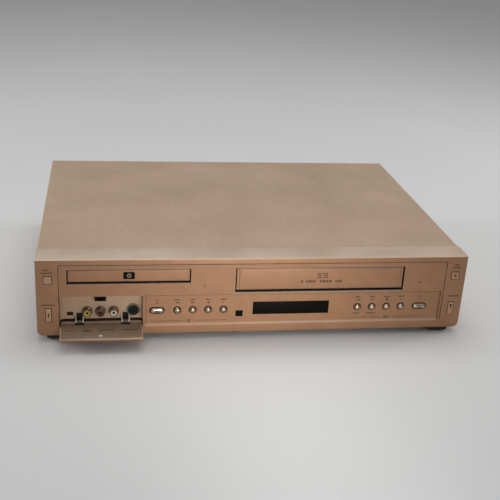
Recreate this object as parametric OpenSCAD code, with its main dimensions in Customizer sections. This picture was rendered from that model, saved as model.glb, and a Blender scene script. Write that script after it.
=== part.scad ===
// Combined disc recorder and video cassette deck with a front jack bay, cover flap shown open.
// Sizes are millimetres. Parts are drawn from the middle of the front face, at the lower edge of
// the panel, with +Y to the back. in_place() then moves them to the middle of the footprint.

/* [Case] */
// Width across the front panel
body_w = 470; // [460:1:500]
// Height of the front panel
body_h = 87.6; // [87:0.2:96]
// Depth from the front face to the rear edge of the cover
body_d = 344; // [340:1:380]
// Height of the feet
foot_h = 7.5; // [5:0.5:12]
// Width of a foot
foot_w = 26; // [18:1:32]
// Depth of a foot
foot_d = 22; // [16:1:30]
// Thickness of the steel sheet
sheet_t = 1; // [0.8:0.1:1.4]
// Height of the turned-up sides of the base pan
pan_flange_h = 12; // [8:1:20]
// Diameter of the cover screws
screw_d = 3; // [2.5:0.5:4]
// Diameter of the cover screws' heads
screw_head_d = 6; // [5:0.5:7]

/* [Front panel] */
// Thickness of the panel's front wall
panel_t = 3; // [2.6:0.2:3.6]
// Thickness of the panel's other walls
panel_wall = 2.5; // [2:0.1:3]
// Depth of the panel's top ledge
ledge_d = 31; // [26:1:33]
// Depth of the panel's bottom lip
lip_d = 12; // [8:1:14]
// Chamfer on the upright front edges
edge_chamfer = 2; // [1:0.5:3]
// Radius of the lower corners
corner_r = 6.5; // [4:0.5:8]
// Width of the panel's grooves
groove_w = 0.8; // [0.4:0.1:1.4]
// Depth of the panel's grooves
groove_t = 0.6; // [0.3:0.1:1]
// Width of the columns at the panel's ends
column_w = 23.5; // [22.5:0.5:24]
// Height of the upper groove
top_groove_z = 81.3; // [80:0.1:83]
// Height of the middle groove
mid_groove_z = 45.5; // [45:0.1:47]
// Height of the lower groove
low_groove_z = 8.9; // [8:0.1:10]

/* [Disc loader] */
// Height of the middle of the tray slot
tray_z = 68.9; // [68:0.1:70]
// Width of the tray slot
tray_slot_w = 130; // [128:0.5:132]
// Height of the tray slot
tray_slot_h = 15; // [14:0.5:16]
// Thickness of the tray's front cap
tray_cap_t = 4; // [3.4:0.2:5]
// Thickness of the tray
tray_t = 5; // [4:0.5:5.5]
// Diameter of the disc
disc_d = 120; // [118:1:121]
// Distance from the front face to the disc's middle
disc_y = 70; // [68:1:74]
// How far the tray runs out
tray_run = 138; // [120:1:140]
// Teeth of the tray's drive gear
gear_teeth = 24; // [20:2:26]
// Diameter of the turntable
turntable_d = 30; // [26:1:34]
// How far the pickup runs
pickup_run = 36; // [28:1:38]

/* [Cassette deck] */
// Height of the middle of the cassette bay
bay_z = 62.9; // [62.5:0.1:63.2]
// Width of the cassette bay
bay_w = 188.6; // [188.4:0.1:190]
// Height of the cassette bay
bay_h = 27; // [26.8:0.1:27.4]
// Thickness of the cassette door
door_t = 2.6; // [2:0.1:3]
// Width of the cassette
cassette_w = 187; // [186:0.5:187.5]
// Depth of the cassette
cassette_d = 103; // [100:1:104]
// Height of the cassette
cassette_h = 25; // [24:0.5:25.2]
// How far the carriage draws the cassette in
carriage_run = 56; // [50:1:57]
// How far the carriage lowers the cassette
carriage_drop = 22; // [18:1:22.5]
// Distance between the reel centres
reel_pitch = 92.5; // [88:0.5:96]
// Diameter of the head drum
drum_d = 62; // [58:1:64]
// Tilt of the head drum
drum_tilt = 5.9; // [4:0.1:7]

/* [Buttons] */
// Height of the button row
row_z = 27.2; // [26:0.2:29]
// Diameter of the round buttons
round_d = 7.2; // [6:0.1:7.6]
// Distance between the round buttons
round_pitch = 16.75; // [15.5:0.25:17.5]
// Distance from the last round button to the oblong one
oblong_gap = 21.7; // [20:0.1:23]
// Width of the oblong buttons
oblong_w = 15; // [13:0.5:16]
// Height of the oblong buttons
oblong_h = 6.2; // [5:0.2:6.6]
// Distance of the corner buttons from the panel's ends
column_in = 12.6; // [12:0.2:14]
// Size of the square corner buttons
square_s = 8.2; // [7:0.2:9]
// Height of the square corner buttons
square_z = 65.1; // [62:0.1:68]
// Width of the tall corner buttons
tall_w = 5.8; // [5:0.2:7]
// Height of the tall corner buttons
tall_h = 15.3; // [13:0.1:17]
// Height of the middle of the tall corner buttons
tall_z = 24.6; // [23:0.2:28]
// Dark ring round a button
ring_w = 0.65; // [0.5:0.05:0.9]
// Travel of the buttons
press = 0.8; // [0.5:0.1:0.9]

/* [Windows] */
// Height of the middle of the display window
display_z = 28; // [27:0.2:29]
// Width of the display window
display_w = 85.5; // [80:0.5:88]
// Height of the display window
display_h = 15.6; // [14:0.2:17]
// Height of the middle of the remote window
remote_z = 21.9; // [20:0.1:24]
// Width of the remote window
remote_w = 8.2; // [6:0.2:9]
// Height of the remote window
remote_h = 7.5; // [6:0.1:9]

/* [Jack bay] */
// Width of the jack bay
bay_jack_w = 87.6; // [86:0.2:88]
// Depth of the jack bay
bay_jack_d = 11; // [10.5:0.1:12]
// Thickness of the flap
flap_t = 2.4; // [2:0.1:2.6]
// Angle that the flap opens to
flap_open = 95.6; // [90:0.1:96]
// Depth of the flap's pivot behind the front face
pivot_y = 4.4; // [4.2:0.1:4.8]
// Height of the flap's pivot above the lower groove
pivot_rise = 5; // [4.6:0.1:5.4]
// Height of the phono jacks
phono_z = 23.5; // [23:0.1:25]
// Distance between the phono jacks
phono_pitch = 14; // [13:0.1:14.5]
// First phono jack from the bay's middle
phono_dx = -15.2; // [-15.6:0.1:-14.8]
// Diameter of the phono jacks' barrels
phono_d = 8.3; // [8:0.1:8.6]
// Diameter of the round multi-pin socket
din_d = 12.2; // [11:0.1:12.6]

/* [Rear] */
// Size of the fan
fan_s = 60; // [50:1:62]
// Depth of the fan
fan_d = 15; // [12:1:18]
// Distance of the fan's middle from the left end
fan_in = 85; // [80:1:95]
// Distance of the power inlet's middle from the left end
inlet_in = 30; // [27:1:35]
// Distance between the rear jacks
rear_pitch = 16; // [14.5:0.5:18]

/* [Fits] */
// Gap round the tray cap, the door and the flap
part_gap = 0.5; // [0.3:0.1:0.7]
// Gap between sliding parts
slide_gap = 0.3; // [0.2:0.05:0.5]
// Radial gap of a shaft in its bearing
run_gap = 0.05; // [0.02:0.01:0.08]

/* [Hidden] */
$fn = 48;

champagne = "#b99a7c";
cover_paint = "#b9a68c";
steel = "#b8bcc0";
dark = "#26241f";
board_green = "#2f6b43";
chrome = "#d8d6d2";

eps = 0.01;
half_w = body_w / 2;

// Sheet metal
cover_half = half_w - 0.8;
cover_top = body_h - 0.6;
cover_y = ledge_d + slide_gap;
pan_half = cover_half - sheet_t - 0.2;
pan_y = lip_d + slide_gap;
rear_y = body_d - 2 * sheet_t;
rear_top = cover_top - sheet_t;
side_screw_y = [90, 290];
rear_screw_in = 55;
rear_screw_x = [rear_screw_in - half_w, 0, half_w - rear_screw_in];
screw_len = 7;
screw_head_t = 2.2;

// Jack bay and its flap
flap_low = low_groove_z + part_gap;
flap_high = mid_groove_z - part_gap;
flap_w = bay_jack_w - 2 * part_gap;
pivot_z = low_groove_z + pivot_rise;
trough_r = norm([pivot_y, pivot_z - flap_low]) + part_gap;
bay_wall = 2;
knuckle_r = 2.2;
knuckle_w = 6;
prong_t = 1.2;
hinge_pin_r = 1;
hinge_dx = [-23.4, 25.4];
latch_z = 40.9;
latch_w = 11.9;
latch_h = 4.8;
latch_y = flap_t + 0.8;
catch_w = 4;
catch_h = 1.4;
catch_l = 2.6;
phono_len = bay_jack_d - flap_t - 1.2;
phono_flange_d = phono_d + 2.6;
phono_flange_t = 1.6;
din_dx = 33.7;
din_len = 1.6;
link_dx = -33.3;
link_z = 20.5;
link_w = 6.7;
link_h = 4.2;

// Buttons and their boards
button_flange = 1.4;
button_flange_t = 1;
stem_r = 1.6;
stem_end = 9.3;
cap_out = 1.6;
corner_out = 0.8;
ring_depth = panel_t / 2;
bore_gap = 0.2;
board_y = 15;
board_t = 1.6;
switch_s = 6;
switch_t = 3.5;
switch_tip_y = stem_end + press + 0.5;
board_z0 = 4;
board_z1 = 44;
board_margin = [5.6, 4.5];
post_r = 3;
board_post_z = [9, 40];
window_flange = 2;
window_back = 0.5;

// Places across the panel: what its parts leave free is shared out among the gaps between them
side_groove_x = half_w - column_w;
column_x = half_w - column_in;
upper_free = 2 * side_groove_x - tray_slot_w - bay_w;
upper_share = [0.0795, 0.46169];
tray_x = upper_share[0] * upper_free - side_groove_x + tray_slot_w / 2;
bay_x = side_groove_x - upper_share[1] * upper_free - bay_w / 2;
bay_jack_x = slide_gap - side_groove_x + bay_jack_w / 2;
lower_x0 = bay_jack_x + bay_jack_w / 2;
group_w = oblong_w / 2 + oblong_gap + 3 * round_pitch + round_d / 2;
column_gap = 2;
least_gap = [
    bay_wall + button_flange + bore_gap, button_flange + window_flange + bore_gap,
    2 * window_flange + bore_gap, button_flange + window_flange + bore_gap, column_gap
];
lower_free = side_groove_x - lower_x0 - 2 * group_w - remote_w - display_w - least_gap * [1, 1, 1, 1, 1];
lower_share = [0.06518, 0.10549, 0.11063, 0.43654, 0.28216];
lower_gap = least_gap + lower_free * lower_share;
disc_oblong_x = lower_x0 + lower_gap[0] + oblong_w / 2;
disc_row_x = disc_oblong_x + oblong_gap;
disc_buttons_x = [for (i = [0:3]) disc_row_x + i * round_pitch];
remote_x = disc_buttons_x[3] + round_d / 2 + lower_gap[1] + remote_w / 2;
display_x = remote_x + remote_w / 2 + lower_gap[2] + display_w / 2;
tape_row_x = display_x + display_w / 2 + lower_gap[3] + round_d / 2;
tape_buttons_x = [for (i = [0:3]) tape_row_x + i * round_pitch];
tape_oblong_x = tape_buttons_x[3] + oblong_gap;
board_x0 = lower_x0 + board_margin[0];
board_x1 = side_groove_x - board_margin[1];
board_post_dx = [-11, -6, 12.45];
board_post_x = [disc_row_x, tape_row_x, tape_oblong_x] + board_post_dx;

// Disc loader, measured from the middle of the tray
cap_w = tray_slot_w - 2 * part_gap;
cap_h = tray_slot_h - 2 * part_gap;
tray_w = tray_slot_w - 2;
rack_h = 3.9;
tray_bottom = tray_z - tray_slot_h / 2 + slide_gap + rack_h;
tray_top = tray_bottom + tray_t;
gear_y = 20;
tray_rear = gear_y + tray_run + 14;
tray_floor = 1.4;
well_d = disc_d + 1.6;
small_well_d = 81;
small_well_t = 0.6;
slot_w = 46;
slot_end = disc_y + 62;
loader_wall = 2.5;
loader_half = tray_w / 2 + slide_gap + loader_wall;
loader_y0 = 8;
loader_y1 = tray_rear + 26;
loader_floor = mid_groove_z + bay_wall + bore_gap;
loader_floor_t = 2;
loader_top = tray_top + 8.4;
rail_w = 6;
rail_t = 2.3;
pitch_r = gear_teeth / 2;
gear_t = 3.4;
gear_dx = -33;
gear_z = tray_bottom - rack_h;
gear_bore = 2;
tooth_play = 0.3;
rack_dx = gear_dx - pitch_r - 0.1;
rack_body = 2.6;
traverse_half = 34;
traverse_lead = 18;
traverse_y0 = disc_y - traverse_lead;
traverse_top = tray_bottom - 10.6;
traverse_t = 2;
traverse_pin_r = 2;
traverse_ear = 4;
turntable_z = traverse_top + 0.6;
turntable_t = 5.4;
hub_d = 14.8;
hub_h = 4;
spindle_r = 1.5;
rod_r = 1.5;
rod_dx = 24;
rod_z = traverse_top + 2;
rod_lead = 19;
rod_y0 = disc_y + rod_lead;
rod_block = 3;
sled_w = 38;
sled_l = 30;
sled_y0 = disc_y + 24;
lug_y = 6;
lug_l = 14;
rod_y1 = sled_y0 + lug_y + lug_l + pickup_run + rod_block + 7;
hinge_y = rod_y1 + 5;
traverse_y1 = hinge_y + 3;
screw_dx = 30;
lead_r = 1.3;
bridge_w = 24;
clamp_neck_r = 9.9;
clamp_pad_r = 14;
clamp_pad_t = 3;
clamp_gap = 0.8;
hub_play = 1.4;
upper_rail_l = 40;

// Cassette deck, measured from the middle of the bay
door_w = bay_w - 2 * part_gap;
door_h = bay_h - 2 * part_gap;
door_y = 0.5;
door_low = bay_z - door_h / 2;
door_pin_r = 1.5;
door_hinge_y = panel_t + 2.5;
door_hinge_z = bay_z + bay_h / 2 + 4.6;
door_reach = door_hinge_y + door_hinge_z - door_low;
deck_y0 = ceil(door_reach) + 3;
deck_z = 14;
deck_t = 1.2;
deck_top = deck_z + deck_t;
holder_t = 1;
holder_in = cassette_w / 2 + 0.7;
holder_out = holder_in + holder_t;
holder_low = bay_z - bay_h / 2 - 0.2;
holder_high = holder_low + holder_t + cassette_h + 1.2;
holder_y1 = deck_y0 + cassette_d - 1;
ledge_w = 10;
yoke_in = holder_out + slide_gap;
yoke_out = yoke_in + holder_t;
yoke_y = [deck_y0 + 20, holder_y1 - 12];
yoke_low = holder_low - carriage_drop - 3;
yoke_bar_z = holder_high + 2.6;
yoke_bar_t = 2;
yoke_bar_w = 8;
guide_r = 2;
guide_gap = 0.15;
guide_half = guide_r + guide_gap;
guide_y = [yoke_y[0] + 14, yoke_y[1] - 12];
holder_pin_z = holder_low + 11;
yoke_pin_z = yoke_bar_z + 0.2;
bracket_in = yoke_out + 0.5;
bracket_t = 1.2;
bracket_out = bracket_in + bracket_t;
bracket_y1 = guide_y[1] + carriage_run + 12;
bracket_top = yoke_pin_z + 4;
inside_y = holder_y1 + 1 + carriage_run;
drum_y = inside_y + 10 + drum_d / 2;
deck_y1 = drum_y + drum_d / 2 + 10;
deck_half = bracket_out + 6;
reel_y = deck_y0 + carriage_run + 45;
reel_post_r = 2;
reel_post_h = 15;
capstan_dx = 62;
capstan_y = inside_y + 5;
capstan_r = 2;
flywheel_r = 22;
capstan_house_r = 6;
capstan_house_h = holder_low - carriage_drop - deck_top - 1.2;
pinch_dx = 40;
pinch_y = capstan_y + 14;
pinch_arm_l = 20;
pinch_rest = 11.7;
pinch_r = 6;
pinch_post_r = 2;
pinch_z = deck_top + 14;
pinch_roller_h = 12;
lower_drum_h = 18;
upper_drum_h = 16;
drum_shaft_r = 3;
drum_gap = 0.4;
drum_seat_r = 24;

// Boards and rear fittings
stand_z = 10;
strip_y0 = deck_y1 + 6;
strip_y1 = rear_y - 4;
strip_x0 = -30;
board_edge = 9;
strip_x1 = half_w - board_edge;
wing_x0 = bay_x + deck_half + 7;
power_x0 = board_edge - half_w;
power_x1 = -48;
power_y0 = loader_y1 + 14;
power_y1 = rear_y - fan_d - 6;
jack_col_x = [for (i = [0:5]) i * rear_pitch - 8];
jack_row_z = [26, 42];
aerial_in = 65;
aerial_x = half_w - aerial_in;
aerial_z = [24, 46];
rear_jack_len = 8.5;
fan_x = fan_in - half_w;
fan_z = 44;
inlet_x = inlet_in - half_w;
inlet_z = 24;
inlet_w = 24;
inlet_h = 16;
inlet_depth = 18;
flap_reach = flap_high - pivot_z;
front_reach = flap_reach * sin(flap_open) - pivot_y;
origin_y = (body_d + rear_jack_len - sheet_t - front_reach) / 2;

module in_place() translate([0, -origin_y, foot_h]) children();

// Box between two values on each axis
module slab(x, y, z)
    translate([x[0], y[0], z[0]]) cube([x[1] - x[0], y[1] - y[0], z[1] - z[0]]);

// Cylinder along Y, X or Z between two values
module rod_y(r, y) translate([0, y[1], 0]) rotate([90, 0, 0]) cylinder(r = r, h = y[1] - y[0]);
module rod_x(r, x) translate([x[0], 0, 0]) rotate([0, 90, 0]) cylinder(r = r, h = x[1] - x[0]);
module rod_z(r, z) translate([0, 0, z[0]]) cylinder(r = r, h = z[1] - z[0]);

// Outline in the X and Z directions, drawn out along Y
module along_y(y) translate([0, y[1], 0]) rotate([90, 0, 0]) linear_extrude(y[1] - y[0]) children();

// Outline in the Y and Z directions, drawn out along X
module along_x(x) translate([x[0], 0, 0]) rotate([90, 0, 90]) linear_extrude(x[1] - x[0]) children();

// Rectangle about its middle
module pane(w, h) square([w, h], center = true);

// Rectangle about its middle with round corners
module rounded(w, h, r) {
    pane(w - 2 * r, h);
    pane(w, h - 2 * r);
    for (x = [-1, 1], y = [-1, 1])
        translate([x * (w / 2 - r), y * (h / 2 - r)]) circle(r);
}

// Flat outline with round ends
module oblong(w, h) {
    pane(w - h, h);
    for (x = [-1, 1])
        translate([x * (w - h) / 2, 0]) circle(h / 2);
}

// Both sides of the middle plane
module both_sides() {
    children();
    mirror([1, 0, 0]) children();
}

// Case

// One-piece outline of the front panel with round lower corners
module panel_outline() {
    translate([-half_w, corner_r]) square([body_w, body_h - corner_r]);
    translate([corner_r - half_w, 0]) square([body_w - 2 * corner_r, 2 * corner_r]);
    for (side = [-1, 1])
        translate([side * (half_w - corner_r), corner_r]) circle(corner_r);
}

module panel_shell() difference() {
    along_y([0, ledge_d]) panel_outline();
    inner = half_w - panel_wall;
    slab([-inner, inner], [panel_t, ledge_d + 1], [panel_wall, body_h - panel_wall]);
    slab([-inner, inner], [lip_d, ledge_d + 1], [-1, body_h - panel_wall]);
    both_sides() translate([half_w, 0, -1]) linear_extrude(body_h + 2)
        polygon([[-edge_chamfer, -eps], [eps, -eps], [eps, edge_chamfer]]);
}

// Fine grooves that part the panel into fields
module panel_grooves() {
    y = [-1, groove_t];
    w = groove_w / 2;
    both_sides() slab([side_groove_x - w, side_groove_x + w], y, [-1, body_h + 1]);
    bay_edge = bay_jack_x + bay_jack_w / 2;
    for (z = [mid_groove_z, low_groove_z])
        slab([bay_edge, side_groove_x], y, [z - w, z + w]);
    slab([-side_groove_x, side_groove_x], y, [top_groove_z - w, top_groove_z + w]);
}

// Walls of the jack bay, with a trough that the flap's tail swings through
module jack_bay_walls() {
    w = bay_jack_w / 2 + bay_wall;
    low = pivot_z - trough_r - bay_wall;
    translate([bay_jack_x, 0, 0])
        slab([-w, w], [panel_t / 2, bay_jack_d + bay_wall], [low, mid_groove_z + bay_wall]);
}

module jack_bay_hollow() translate([bay_jack_x, 0, 0]) {
    w = bay_jack_w / 2;
    slab([-w, w], [-1, bay_jack_d], [low_groove_z, mid_groove_z]);
    translate([0, pivot_y, pivot_z]) rod_x(trough_r, [-w, w]);
}

module jack_bay_holes() translate([bay_jack_x, 0, 0]) {
    y = [bay_jack_d - 1, bay_jack_d + bay_wall + 1];
    for (i = [0:2])
        translate([phono_dx + i * phono_pitch, 0, phono_z]) rod_y(phono_d / 2 + run_gap, y);
    translate([din_dx, 0, phono_z + 1]) rod_y(din_d / 2 + run_gap, y);
    translate([link_dx, 0, link_z]) along_y(y) pane(link_w + 2 * run_gap, link_h + 2 * run_gap);
    for (x = hinge_dx)
        slab([x - knuckle_w / 2, x + knuckle_w / 2], y, [pivot_z + 3, pivot_z + 6.4]);
}

// Forks that hold the flap's pins
module flap_forks() for (x = hinge_dx) translate([bay_jack_x + x, 0, 0]) {
    for (side = [-1, 1]) {
        near = side * (knuckle_w / 2 + slide_gap);
        far = near + side * prong_t;
        along_x([min(near, far), max(near, far)]) {
            translate([pivot_y, pivot_z]) circle(knuckle_r - 0.5);
            polygon([[pivot_y - 1, pivot_z + 1], [pivot_y + 1, pivot_z - 1],
                [bay_jack_d + 1, pivot_z + 3], [bay_jack_d + 1, pivot_z + 6.4]]);
        }
    }
    reach = knuckle_w / 2 + slide_gap + prong_t / 2;
    translate([0, pivot_y, pivot_z]) rod_x(hinge_pin_r, [-reach, reach]);
}

// Ears that carry the cassette door's pins
ear_dx = door_w / 2 + slide_gap;
ear_t = 3;
module door_ears() translate([bay_x, 0, 0]) both_sides() difference() {
    slab([ear_dx, ear_dx + ear_t], [panel_t / 2, door_hinge_y + 4],
        [door_hinge_z - 5, body_h - panel_wall + eps]);
    translate([0, door_hinge_y, door_hinge_z])
        rod_x(door_pin_r + run_gap, [ear_dx - 1, ear_dx + ear_t + 1]);
}

// Posts behind the panel that carry the control boards
corner_post_z = [46, 77];
module board_posts() {
    y = [panel_t / 2, board_y];
    for (x = board_post_x, z = board_post_z)
        translate([x, 0, z]) rod_y(post_r, y);
    for (side = [-1, 1], z = corner_post_z)
        translate([side * column_x, 0, z]) rod_y(post_r, y);
}

module round_outline(grow = 0) circle(round_d / 2 + grow);
module oblong_outline(grow = 0) oblong(oblong_w + 2 * grow, oblong_h + 2 * grow);
module square_outline(grow = 0) rounded(square_s + 2 * grow, square_s + 2 * grow, 0.8);
module tall_outline(grow = 0) rounded(tall_w + 2 * grow, tall_h + 2 * grow, 0.8);

// Outline of a button by its kind, grown by a gap
module outline(kind, grow) {
    if (kind == "round") round_outline(grow);
    if (kind == "oblong") oblong_outline(grow);
    if (kind == "square") square_outline(grow);
    if (kind == "tall") tall_outline(grow);
}

// Hole for a button: a dark ring in front and a closer guide behind it
module button_hole(kind, x, z) translate([x, 0, z]) {
    along_y([-1, ring_depth]) outline(kind, ring_w);
    along_y([-1, panel_t + 1]) outline(kind, bore_gap);
}

module button_holes() {
    for (x = concat(disc_buttons_x, tape_buttons_x))
        button_hole("round", x, row_z);
    for (x = [disc_oblong_x, tape_oblong_x])
        button_hole("oblong", x, row_z);
    for (side = [-1, 1]) {
        button_hole("square", side * column_x, square_z);
        button_hole("tall", side * column_x, tall_z);
    }
}

module window_hole(x, z, w, h) translate([x, 0, z]) along_y([-1, panel_t + 1]) pane(w, h);

module front_panel() color(champagne) in_place() difference() {
    union() {
        difference() {
            union() {
                panel_shell();
                jack_bay_walls();
            }
            jack_bay_hollow();
            jack_bay_holes();
        }
        flap_forks();
        door_ears();
        board_posts();
    }
    panel_grooves();
    button_holes();
    window_hole(tray_x, tray_z, tray_slot_w, tray_slot_h);
    window_hole(bay_x, bay_z, bay_w, bay_h);
    window_hole(display_x, display_z, display_w, display_h);
    window_hole(remote_x, remote_z, remote_w, remote_h);
}

// Slots in the cover's sides for the air
vent_count = 14;
vent_w = 3;
vent_h = 26;
vent_pitch = 8;
vent_y = 130;
vent_z = 44;
module side_vents() for (i = [0:vent_count - 1])
    translate([0, vent_y + i * vent_pitch, vent_z])
        along_x([-half_w - 1, half_w + 1]) rotate(90) oblong(vent_h, vent_w);

rear_lip_h = 10;
rear_screw_z = cover_top - rear_lip_h / 2 - 0.5;
side_screw_z = sheet_t + pan_flange_h / 2;
module top_cover() color(cover_paint) in_place() difference() {
    slab([-cover_half, cover_half], [cover_y, body_d], [0, cover_top]);
    inner = cover_half - sheet_t;
    slab([-inner, inner], [cover_y - 1, body_d - sheet_t], [-1, cover_top - sheet_t]);
    slab([-inner, inner], [cover_y, body_d + 1], [-1, cover_top - rear_lip_h]);
    side_vents();
    for (y = side_screw_y)
        translate([0, y, side_screw_z]) rod_x(screw_d / 2 + bore_gap, [-half_w, half_w]);
    for (x = rear_screw_x)
        translate([x, 0, rear_screw_z]) rod_y(screw_d / 2 + bore_gap, [rear_y, body_d + 1]);
}

// Posts on the base pan: for the boards, the loader and the deck
loader_post = [loader_half - 8, loader_y0 + 24, loader_y1 - 12];
deck_post = [deck_half - 5, deck_y0 + 6, deck_y1 - 6];
main_post_x = [strip_x0 + 6, strip_x1 - 6];
pan_post_r = 4;
module pan_posts() {
    z0 = sheet_t - eps;
    for (side = [-1, 1], y = [loader_post[1], loader_post[2]])
        translate([tray_x + side * loader_post[0], y, 0]) rod_z(pan_post_r, [z0, loader_floor]);
    for (side = [-1, 1], y = [deck_post[1], deck_post[2]])
        translate([bay_x + side * deck_post[0], y, 0]) rod_z(pan_post_r, [z0, deck_z]);
    for (x = main_post_x, y = [strip_y0 + 6, strip_y1 - 8])
        translate([x, y, 0]) rod_z(post_r, [z0, stand_z]);
    translate([main_post_x[1], deck_y0 + 10, 0]) rod_z(post_r, [z0, stand_z]);
    for (x = [power_x0 + 6, power_x1 - 6], y = [power_y0 + 6, power_y1 - 6])
        translate([x, y, 0]) rod_z(post_r, [z0, stand_z]);
}

// Slots in the pan's floor for the air, in two rows under the loader and the power board
pan_vent_l = 20;
pan_vent_w = 4;
pan_vent_pitch = (half_w - 85) / 5;
pan_vent_y = [disc_y - 10, power_y0 + 38];
module base_pan() color(steel) in_place() {
    difference() {
        slab([-pan_half, pan_half], [pan_y, rear_y], [0, sheet_t + pan_flange_h]);
        inner = pan_half - sheet_t;
        slab([-inner, inner], [pan_y + sheet_t, rear_y + 1], [sheet_t, sheet_t + pan_flange_h + 1]);
        for (y = side_screw_y)
            translate([0, y, side_screw_z]) rod_x(screw_d / 2 + run_gap, [-half_w, half_w]);
        slab([-half_w, half_w], [pan_y - 1, ledge_d], [sheet_t, sheet_t + pan_flange_h + 1]);
        for (i = [-5:5], y = pan_vent_y)
            translate([i * pan_vent_pitch, y, -1]) linear_extrude(sheet_t + 2) oblong(pan_vent_l, pan_vent_w);
    }
    pan_posts();
}

// Grille of slots that together make a disc in front of the fan
grille_pitch = 6;
module fan_grille() intersection() {
    translate([fan_x, 0, fan_z]) rod_y(fan_s / 2 - 4, [rear_y - 1, body_d]);
    for (i = [-5:5])
        translate([fan_x, 0, fan_z + i * grille_pitch])
            along_y([rear_y - 1, body_d]) for (side = [-1, 1])
                translate([side * fan_s / 4, 0]) pane(fan_s / 2 - 3, grille_pitch - 2.4);
}

rear_flange = 8;
module rear_panel() color(steel) in_place() difference() {
    union() {
        slab([-pan_half + sheet_t, pan_half - sheet_t], [rear_y, rear_y + sheet_t], [sheet_t, rear_top]);
        for (z = [[sheet_t, 2 * sheet_t], [rear_top - sheet_t, rear_top]])
            slab([2 * sheet_t - pan_half, pan_half - 2 * sheet_t], [rear_y - rear_flange, rear_y + eps], z);
    }
    fan_grille();
    y = [rear_y - 1, body_d];
    for (x = jack_col_x, z = jack_row_z)
        translate([x, 0, z]) rod_y(phono_d / 2 + bore_gap, y);
    for (z = aerial_z)
        translate([aerial_x, 0, z]) rod_y(aerial_r + bore_gap, y);
    translate([inlet_x, 0, inlet_z]) along_y(y) pane(inlet_w + 0.4, inlet_h + 0.4);
    for (x = rear_screw_x)
        translate([x, 0, rear_screw_z]) rod_y(screw_d / 2 + run_gap, y);
}

foot_x = half_w - 9 - foot_w / 2;
foot_y0 = 5;
foot_inset_rear = 20;
module feet() color(dark) in_place() {
    for (side = [-1, 1], y = [foot_y0 + foot_d / 2, rear_y - foot_inset_rear - foot_d / 2])
        translate([side * foot_x, y, -foot_h]) linear_extrude(foot_h) rounded(foot_w, foot_d, 4);
}

// Screw that points along +Y from its head's seat, with a cross recess
module cover_screw() difference() {
    union() {
        rod_y(screw_head_d / 2, [-screw_head_t, 0]);
        rod_y(screw_d / 2, [-eps, screw_len]);
    }
    for (turn = [0, 90])
        rotate([0, turn, 0]) slab([-1.7, 1.7], [-screw_head_t - 1, -screw_head_t + 1], [-0.4, 0.4]);
}

module cover_screws() color(dark) in_place() {
    for (y = side_screw_y) {
        translate([-cover_half, y, side_screw_z]) rotate([0, 0, -90]) cover_screw();
        translate([cover_half, y, side_screw_z]) rotate([0, 0, 90]) cover_screw();
    }
    for (x = rear_screw_x)
        translate([x, body_d, rear_screw_z]) rotate([0, 0, 180]) cover_screw();
}

// Windows and control boards

// Window that stands in its hole, with a flange behind the panel
module window(x, z, w, h) translate([x, 0, z]) {
    along_y([window_back, panel_t + eps]) pane(w - 2 * run_gap, h - 2 * run_gap);
    along_y([panel_t, panel_t + 1]) pane(w + 2 * window_flange, h + 2 * window_flange);
}

module display_window() color(dark) in_place() window(display_x, display_z, display_w, display_h);

module remote_window() color(dark) in_place() window(remote_x, remote_z, remote_w, remote_h);

// Push switch on a board, facing the panel
module switch(x, z) translate([x, 0, z]) {
    along_y([board_y - switch_t, board_y + eps]) pane(switch_s, switch_s);
    rod_y(stem_r, [switch_tip_y, board_y - switch_t + eps]);
}

// Display tube and its holder
tube_margin = 1;
tube_y = [panel_t + 1.4, 11];
module display_tube() translate([display_x, 0, display_z]) {
    along_y(tube_y) pane(display_w + 2 * tube_margin, display_h + 2 * tube_margin);
    along_y([tube_y[1] - eps, board_y + eps]) pane(display_w - 4, display_h - 4);
}

corner_board_w = 14;
corner_board_z = [12, 80];
module control_boards() color(board_green) in_place() {
    slab([board_x0, board_x1], [board_y, board_y + board_t], [board_z0, board_z1]);
    for (x = concat([disc_oblong_x, tape_oblong_x], disc_buttons_x, tape_buttons_x))
        switch(x, row_z);
    display_tube();
    translate([remote_x, 0, remote_z])
        along_y([tube_y[0], board_y + eps]) pane(remote_w - 2, remote_h - 1);
    for (side = [-1, 1]) {
        x = side * column_x;
        slab([x - corner_board_w / 2, x + corner_board_w / 2],
            [board_y, board_y + board_t], corner_board_z);
        switch(x, square_z);
        switch(x, tall_z);
    }
}

// Buttons: a cap that stands out of its hole, a flange behind the panel and a stem
module button(kind, x, z, out) translate([x, 0, z]) {
    along_y([-out, panel_t + slide_gap + eps]) outline(kind, 0);
    along_y([panel_t + slide_gap, panel_t + slide_gap + button_flange_t]) outline(kind, button_flange);
    rod_y(stem_r, [panel_t, stem_end]);
}

// Shallow dome on a round button
dome_h = 1.2;
module round_button(x) {
    button("round", x, row_z, cap_out);
    dome_r = (pow(round_d / 2, 2) + dome_h * dome_h) / (2 * dome_h);
    translate([x, -cap_out, row_z]) intersection() {
        translate([0, dome_r - dome_h, 0]) sphere(dome_r);
        rod_y(round_d / 2, [-dome_h - 1, eps]);
    }
}

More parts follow.
